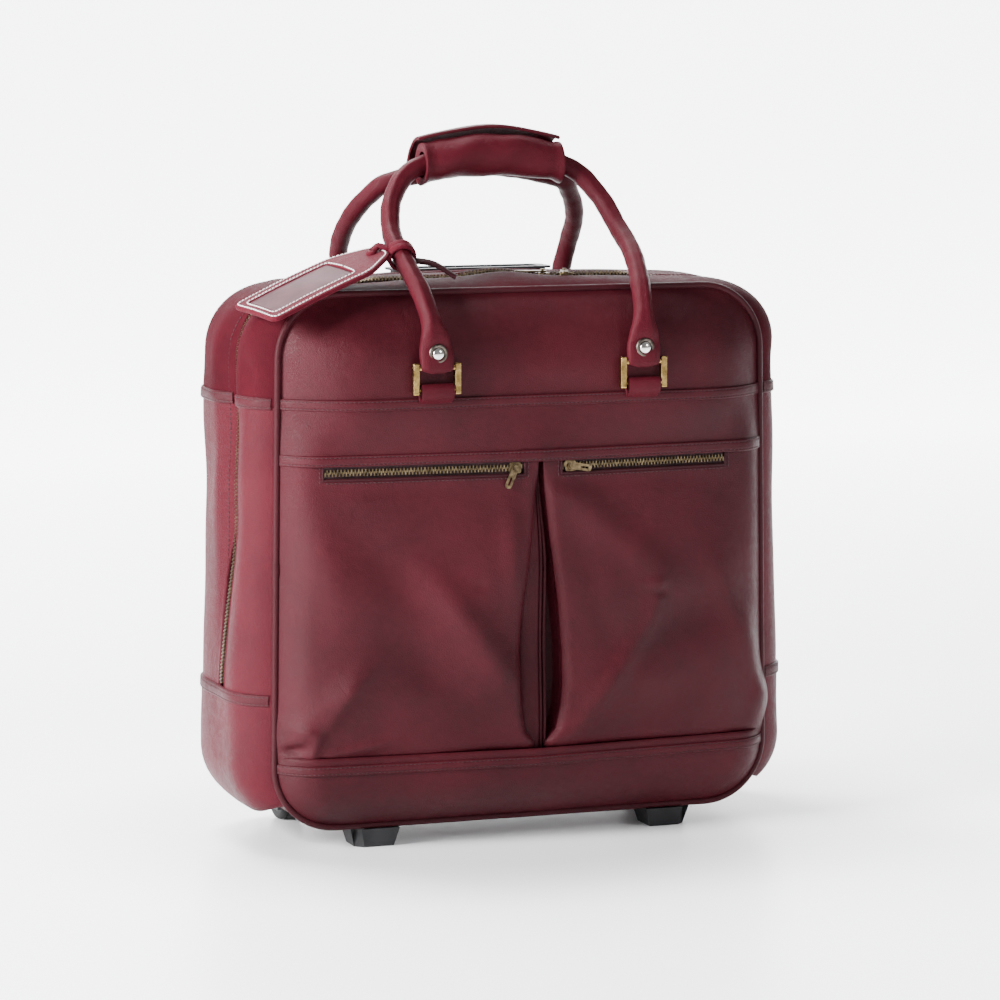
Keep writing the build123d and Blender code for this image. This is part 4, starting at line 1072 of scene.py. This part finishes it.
FRONT_LEG = [(RING_X + 1.5, FRONT_Y - 36, 398), (89, FRONT_Y - 19.5, 425), (93.5, FRONT_Y + 9, 449),
             (93, FRONT_Y + 39, 468), (84, FRONT_Y + 61, 494), (60, FRONT_Y + 72.5, 516)]
FRONT_CREST = (0, FRONT_Y + 74.5, 526)
FRONT_RING_Y = FRONT_Y - 39.0
rear_ring_low, rear_ring_high = limits("rear_handle_rings")
REAR_RING_Y = (rear_ring_low[1] + rear_ring_high[1]) / 2
REAR_LEG = [(RING_X + 6, REAR_RING_Y + 3, 398), (94, REAR_RING_Y + 2, 428), (97, REAR_Y + 14, 450),
            (95, REAR_Y - 5, 472), (84, REAR_Y - 23, 492), (66, REAR_Y - 37, 505)]
REAR_CREST = (0, REAR_Y - 46, 515)
rolled_handle("front_handle", FRONT_LEG, FRONT_CREST, FRONT_RING_Y, 1, 4.4)
rolled_handle("rear_handle", REAR_LEG, REAR_CREST, REAR_RING_Y, -1, 1.6)


def revolved(profile, centre, axis, count=40):
    """Turned shape: profile gives (radius, distance along the axis)."""
    axis = unit(axis)
    a = unit(np.cross(axis, (0, 0, 1) if abs(axis[2]) < 0.9 else (1, 0, 0)))
    b = np.cross(axis, a)
    rings = [[np.asarray(centre) + axis * h + a * u + b * v for u, v in circle(r, count)] for r, h in profile]
    return surface(rings, False, True, flip=True)


CAP_PROFILE = [(0.01, 2.9), (1.5, 2.8), (3.0, 2.4), (4.1, 1.7), (4.6, 1.0), (4.7, -0.4)]
SOCKET_PROFILE = [(4.75, 0.2), (4.9, 1.1), (5.6, 1.5), (6.6, 1.45), (7.3, 0.9), (7.5, -1.2)]
for label, out in (("front", -1.0), ("rear", 1.0)):
    low, high = limits(f"{label}_handle_snaps")
    centres = [(x, high[1] if out < 0 else low[1], (low[2] + high[2]) / 2) for x in (-RING_X, RING_X)]
    caps, sockets = ([revolved(profile, centre, (0, out, 0)) for centre in centres]
                     for profile in (CAP_PROFILE, SOCKET_PROFILE))
    body = f"{label}_handle"
    make_mesh(f"{label}_snap_caps", *join_parts(caps), nickel, body, "snap_metal", (f"{body}_snaps",))
    make_mesh(f"{label}_snap_sockets", *join_parts(sockets), dark_metal, body, "snap_metal")


def ring_tab(x, ring_y, back_y):
    """Strap folded round the lower bar of a ring and sewn down under the fold seam."""
    out = 1.0 if ring_y > back_y else -1.0
    profile = []
    for a in np.linspace(-0.2, math.pi + 0.35, 14):
        profile.append((ring_y + out * 4.4 * math.cos(a), RING_LOW + 4.4 * math.sin(a)))
    front = [(ring_y + out * 4.3, RING_LOW - 3), (ring_y + out * 3.2, RING_LOW - 7),
             (back_y + out * 2.2, RING_LOW - 11.5)]
    back = [(back_y + out * 0.4, RING_LOW - 4), (back_y + out * 0.2, RING_LOW - 11.5)]
    loop = front[::-1] + profile + back
    centre = np.mean(loop, axis=0)
    rows = []
    for offset, shrink in ((-13.0, 0.55), (-12.4, 0.1), (-11.0, 0.0), (0, -0.1), (11.0, 0.0), (12.4, 0.1),
                           (13.0, 0.55)):
        rows.append([(x + offset, *(np.array(p) + (centre - p) * 0.14 * shrink)) for p in loop])
    verts, faces = surface(rows, flip=out > 0)
    return verts, faces + end_caps(len(rows), len(loop))


tabs = [ring_tab(x, FRONT_RING_Y, FRONT_Y - 33.5) for x in (-RING_X, RING_X)]
tabs += [ring_tab(x, REAR_RING_Y, REAR_Y + 11.0) for x in (-RING_X, RING_X)]
make_mesh("ring_tab_straps", *join_parts(tabs), hide_roll, "case", "handle_leather", ("ring_tabs",))

# ---------------------------------------------------------------- grip wrap and its flap
WRAP_HALF = 57.0
GRIP_Y = FRONT_Y + 74.3


def crest_z(x):
    """Height of the front grip's middle line under the wrap."""
    return 526.0 - 7.5 * (x / 56.0) ** 2


def wrap_end(ring, side, size):
    """Ring that closes in round the grip at one end of the wrap."""
    mid = np.array((side * (WRAP_HALF + 0.3 - (1 - size) * 3), GRIP_Y, crest_z(WRAP_HALF) - 1.0))
    return [mid + (np.array(p) - (p[0], mid[1], mid[2])) * size for p in ring]


def wrap_rings():
    """Puffed leather tube round the front grip, drawn in at its two ends."""
    xs = np.concatenate([np.linspace(-WRAP_HALF, -WRAP_HALF + 5, 6),
                         np.linspace(-WRAP_HALF + 7, WRAP_HALF - 7, 44),
                         np.linspace(WRAP_HALF - 5, WRAP_HALF, 6)])
    rings = []
    for x in xs:
        end = min(x + WRAP_HALF, WRAP_HALF - x)
        tall = 1.04 + 0.07 * math.exp(-(x / 30) ** 2)
        ring = []
        for a in np.linspace(0, 2 * math.pi, 40, endpoint=False):
            radius = 14.8 + 0.5 * math.sin(3 * a + x * 0.05) + 0.4 * math.sin(x * 0.16 + 2 * a)
            radius += 1.0 * math.exp(-(end / 4.0) ** 2) - 0.5 * math.exp(-((end - 8) / 4.0) ** 2)
            ring.append((x, GRIP_Y + radius * math.cos(a), crest_z(x) - 1.0 + radius * tall * math.sin(a)))
        rings.append(ring)
    sizes = (0.62, 0.8, 0.92)
    return [wrap_end(rings[0], -1, size) for size in sizes] + rings \
        + [wrap_end(rings[-1], 1, size) for size in sizes[::-1]]


wrap = make_mesh("grip_wrap_skin", *surface(wrap_rings(), False, True), hide_roll, "front_handle",
                 "handle_leather", ("grip_wrap",))

FLAP_HALF = 58.0
FLAP_MID_Y = 20.0
flap_profile = smooth_path([(0, 8.6, 544.6), (0, 12.0, 545.2), (0, 17.0, 545.0), (0, 25.0, 542.4), (0, 34.5, 534.8),
                            (0, 40.8, 524.5)], 26)
rows = []
for x in np.linspace(-FLAP_HALF, FLAP_HALF, 60):
    narrow = 1 - 0.14 * (abs(x) / FLAP_HALF) ** 10
    rows.append([(x, FLAP_MID_Y + (y - FLAP_MID_Y) * narrow,
                  z - 8.5 * (x / 56) ** 2 + 0.5 * math.sin(x * 0.09 + y * 0.1)) for _, y, z in flap_profile])
flap = sheet_piece("grip_flap_skin", np.array(rows), hide_roll, "grip_flap", "handle_leather", ("grip_flap",),
                   thick=2.6)
rim = flap.modifiers.new("round_edge", "BEVEL")
rim.width = 0.7 * MM
rim.segments = 2

# ---------------------------------------------------------------- luggage tag
TAG_HOLE = np.array((-115.0, FRONT_Y + 19.0, 452.0))
TAG_FAR = np.array((-216.0, FRONT_Y - 2.0, 412.0))
tag_x = unit(TAG_FAR - TAG_HOLE)
tag_z = unit(np.cross(tag_x, (0.27, -0.957, -0.095)))
if tag_z[2] < 0:
    tag_z = -tag_z
tag_y = np.cross(tag_z, tag_x)
TAG_LENGTH = float(np.linalg.norm(TAG_FAR - TAG_HOLE))


def tag_place(a, b, c):
    sag = 1.4 * math.sin(math.pi * a / TAG_LENGTH) - 0.0012 * b * b
    return TAG_HOLE + tag_x * a + tag_y * b + tag_z * (c + sag)


def rounded_loop(corners, radius, count=160):
    """Closed outline with rounded corners, evenly spaced, starting at its first corner."""
    pts = []
    n = len(corners)
    for i in range(n):
        here = np.array(corners[i], float)
        u, v = unit(np.array(corners[i - 1]) - here), unit(np.array(corners[(i + 1) % n]) - here)
        for t in np.linspace(0, 1, 8):
            pts.append(here + u * radius * (1 - t) ** 2 + v * radius * t ** 2)
    pts = np.array(pts + pts[:1])
    along = run_along(pts)
    return look_up(np.linspace(0, along[-1], count, endpoint=False), along, pts)


def inset(loop, distance):
    ahead, behind = np.roll(loop, -1, axis=0), np.roll(loop, 1, axis=0)
    run = ahead - behind
    run /= np.linalg.norm(run, axis=1)[:, None]
    return loop + np.stack([-run[:, 1], run[:, 0]], axis=1) * distance


def starting_at(loop, place):
    """The same loop, starting at its point nearest to a place."""
    first = int(np.argmin(np.hypot(*(loop - np.array(place)).T)))
    return np.roll(loop, -first, axis=0)


tag_outline = rounded_loop([(-10, 13), (-10, -13), (20, -31), (TAG_LENGTH, -31), (TAG_LENGTH, 31), (20, 31)], 9.0)
window_outline = rounded_loop([(29, 0), (30, -19), (TAG_LENGTH - 9, -19), (TAG_LENGTH - 9, 19), (30, 19)], 2.5)
window_outline = starting_at(window_outline, (30, 0))
tag_outline = starting_at(tag_outline, (-8, 0))


def ring_rows(rings):
    return surface([[tag_place(a, b, c) for a, b in loop] for loop, c in rings], False, True, flip=True)


mid_rows = [((1 - t) * inset(tag_outline, 1.0) + t * inset(window_outline, -0.8), 1.75)
            for t in (0.0, 0.2, 0.5, 0.8, 1.0)]
front_rings = [(tag_outline, 0.1), (inset(tag_outline, -0.1), 0.9), (inset(tag_outline, 0.3), 1.5)] + mid_rows \
    + [(inset(window_outline, -0.2), 1.5), (window_outline, 0.9), (window_outline, 0.1)]
make_mesh("tag_front_skin", *ring_rows(front_rings), hide_tag, "luggage_tag", "leather", ("tag_front",))
centre = np.array((TAG_LENGTH / 2, 0.0))
shrunk = [centre + (tag_outline - centre) * k for k in (0.95, 0.6, 0.3, 0.02)]
back_rim = [(tag_outline, -0.1), (inset(tag_outline, -0.1), -0.9), (inset(tag_outline, 0.4), -1.6)]
verts, faces = ring_rows(back_rim + [(loop, -1.75) for loop in shrunk])
upper = ring_rows([(tag_outline, -0.1)] + [(loop, -0.05) for loop in shrunk])
make_mesh("tag_back_skin", *join_parts([(verts, [f[::-1] for f in faces]), upper]), hide_tag, "luggage_tag",
          "leather", ("tag_back",))
tag_lines = []
for loop in (inset(tag_outline, 2.4), inset(window_outline, -2.2)):
    closed = np.vstack([loop, loop[:1]])
    tag_lines.append((np.array([tag_place(a, b, 1.75) for a, b in closed]), np.tile(tag_z, (len(closed), 1))))
stitches("tag_thread", tag_lines, pale_thread, "luggage_tag", pitch=3.2, length=2.5, radius=0.5, lift=0.3)
pane = np.array([[tag_place(a, b, 0.6 + 0.25 * math.sin(a * 0.12) * math.cos(b * 0.1))
                  for b in np.linspace(-19.6, 19.6, 24)] for a in np.linspace(29.5, TAG_LENGTH - 8.6, 40)])
sheet_piece("tag_window_pane", pane, vinyl, "luggage_tag", "clear_window", ("tag_window",), thick=0.5)

# strap: wound twice round the leg, both ends through the tag
leg_at = np.array((-93.778, -51.275, 451.96))
leg_dir = unit((-0.0394, 0.8554, 0.5165))
near_dir = unit((TAG_HOLE - leg_at) - leg_dir * np.dot(TAG_HOLE - leg_at, leg_dir))
side_dir = np.cross(leg_dir, near_dir)


def round_leg(angle, along, radius=9.6):
    return leg_at + leg_dir * along + radius * (near_dir * math.cos(angle) + side_dir * math.sin(angle))


turns = [round_leg(a, 4.2 - 8.4 * (a / (4 * math.pi))) for a in np.linspace(0.55, 4 * math.pi - 0.55, 60)]
strap_path = [TAG_HOLE + tag_z * 3.4 - tag_x * 0.5, TAG_HOLE + tag_z * 5.0 - tag_x * 7.0] + turns \
    + [TAG_HOLE - tag_z * 1.0 - tag_x * 10.0, TAG_HOLE - tag_z * 3.2 - tag_x * 2.0]
strap_path = resample(np.array(strap_path), count=150)
flat = [(3.1 * math.copysign(abs(math.cos(a)) ** 0.7, math.cos(a)),
         1.7 * math.copysign(abs(math.sin(a)) ** 0.8, math.sin(a)))
        for a in np.linspace(0, 2 * math.pi, 16, endpoint=False)]
strap_parts = [swept(strap_path, lambda k, t: flat, side=leg_dir)]
for facing in (tag_z, -tag_z):
    strap_parts.append(revolved([(0.01, 4.4), (2.2, 4.3), (3.8, 3.6), (4.4, 2.4), (4.4, 1.9)], TAG_HOLE, facing))
make_mesh("tag_strap_skin", *join_parts(strap_parts), hide_tag, "luggage_tag", "leather", ("tag_strap",))
tail_end = np.array((-54.0, FRONT_Y + 1.0, 435.0))
tail_dir = unit(tail_end - leg_at)
tail_start = leg_at + tail_dir * 10.4
tail_mid = (tail_start + tail_end) / 2 + np.array((0, 0, 3.4))
tail_path = smooth_path([tail_start, tail_mid, tail_end], 30)
make_mesh("tag_strap_tail_skin", *swept(tail_path, lambda k, t: flat, side=leg_dir), hide_edge_and_recess_shade, "front_handle",
          "handle_leather", ("tag_strap_tail",))

# ---------------------------------------------------------------- inside
ring_s = np.linspace(0, ROUND, 160, endpoint=False)
ring_depths = np.linspace(FRONT_Y + 8, 46, 10)
ring_grid = np.array([gusset_at(ring_s, y, -6.5) for y in ring_depths])
ring_grid[:, :, 2] = np.maximum(ring_grid[:, :, 2], 27.5)
lining = make_mesh("lining_skin", *surface(ring_grid, False, True), lining_cloth, "case", "lining_fabric",
                   ("lining",))
lining_solid = lining.modifiers.new("thickness", "SOLIDIFY")
lining_solid.thickness = 0.8 * MM

# ---------------------------------------------------------------- finishes of the CAD nodes
FINISH = {
    old_brass: "left_pocket_slider right_pocket_slider left_pocket_pull right_pocket_pull main_slider_left "
               "main_slider_right main_pull_left main_pull_right",
    ring_brass: "front_handle_rings rear_handle_rings",
    black: "feet wheel_housings trolley_foot_bracket trolley_tray trolley_grip",
    rubber: "tyre_left tyre_right",
    hub_plastic: "wheel_hub_left wheel_hub_right",
    acetal: "wheel_bush_left wheel_bush_right",
    zinc: "wheel_axles axle_caps foot_screws button_spring",
    board: "base_board",
    anodised: "trolley_outer_tubes trolley_mid_tubes trolley_inner_tubes",
    grey_button: "trolley_button",
}
for finish, names in FINISH.items():
    for node in names.split():
        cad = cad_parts[node]
        cad.data.materials.clear()
        cad.data.materials.append(finish)

# ---------------------------------------------------------------- floor and light
# Glow of the floor and wall: they shine though they are no lamps, painted light
FLOOR_GLOW = 1.3
WALL_GLOW = 5.0
LAMPS = (("key", (-2.3, -0.5, 1.1), 0.9, 270.0), ("front", (1.5, -2.2, 1.5), 0.6, 26.0),
         ("top", (-0.5, 1.0, 2.3), 0.9, 125.0))


def floor_material():
    """Pale floor and wall that glow as painted light, more up the wall and less far out to the left; the glow dips
    under the case as a painted contact shadow.
    """
    finish = Finish("pale_floor")
    finish.colour(finish.texture("Noise", Scale=1.2, Detail=3.0), 0.2, (0.86, 0.86, 0.87), 0.8, (0.9, 0.9, 0.91))
    place = finish.nodes.new("ShaderNodeSeparateXYZ")
    finish.links.new(finish.place, place.inputs["Vector"])
    glow = finish.spread(place.outputs["Y"], From_Min=0.6, From_Max=3.0, To_Min=FLOOR_GLOW, To_Max=WALL_GLOW)
    # The painted glow fades far out to the left
    aslant = finish.math("MULTIPLY_ADD", place.outputs["Y"], -0.233, place.outputs["X"])
    left = finish.spread(aslant, From_Min=-1.15, From_Max=-0.45, To_Min=0.06)
    painted_shadow_footprint = add(finish.nodes, "ShaderNodeMapping", Scale=(1 / 0.23, 1 / 0.18, 0.0))
    finish.links.new(finish.place, painted_shadow_footprint.inputs["Vector"])
    away = finish.nodes.new("ShaderNodeVectorMath")
    away.operation = "LENGTH"
    finish.links.new(painted_shadow_footprint.outputs["Vector"], away.inputs[0])
    # The glow falls away under the case: a painted contact shadow
    near = finish.spread(away.outputs["Value"], True, From_Min=0.85, From_Max=1.9, To_Min=0.02)
    strength = finish.math("MULTIPLY", glow, finish.math("MULTIPLY", left, near))
    finish.links.new(strength, finish.shader.inputs["Emission Strength"])
    finish.constant(Roughness=0.34, Specular_IOR_Level=0.3, Emission_Color=(0.98, 0.985, 1.0, 1.0))
    return finish.mat


def studio():
    """Pale sweep, soft key from the left, broad fill from the right front and above."""
    bend = [(2.6 + 1.4 * math.sin(a), 1.4 - 1.4 * math.cos(a)) for a in np.linspace(0, math.pi / 2, 14)]
    profile = [(-4.5, 0)] + bend + [(4.0, 6.0)]
    mesh = bpy.data.meshes.new("floor_sweep")
    mesh.from_pydata([(float(x), float(y), float(z)) for y, z in profile for x in np.linspace(-6, 6, 9)], [],
                     grid_faces(len(profile), 9))
    for poly in mesh.polygons:
        poly.use_smooth = True
    floor = bpy.data.objects.new("floor_sweep", mesh)
    bpy.context.scene.collection.objects.link(floor)
    mesh.materials.append(floor_material())
    floor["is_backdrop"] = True
    for name, at, size, power in LAMPS:
        data = bpy.data.lights.new(name, "AREA")
        data.size = size
        data.energy = power
        lamp = bpy.data.objects.new(name, data)
        lamp.location = at
        lamp.rotation_euler = (Vector((0, 0, 0.22)) - Vector(at)).to_track_quat("-Z", "Y").to_euler()
        bpy.context.scene.collection.objects.link(lamp)
    world = bpy.data.worlds.new("studio_air")
    world.use_nodes = True
    air = world.node_tree.nodes["Background"].inputs
    air["Color"].default_value = (0.97, 0.98, 1.0, 1.0)
    air["Strength"].default_value = 0.32
    bpy.context.scene.world = world


studio()

visual_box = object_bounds()
boxes = {"cad": cad_box, "visual": visual_box}
{name: [list(corner) for corner in box] for name, box in boxes.items()}
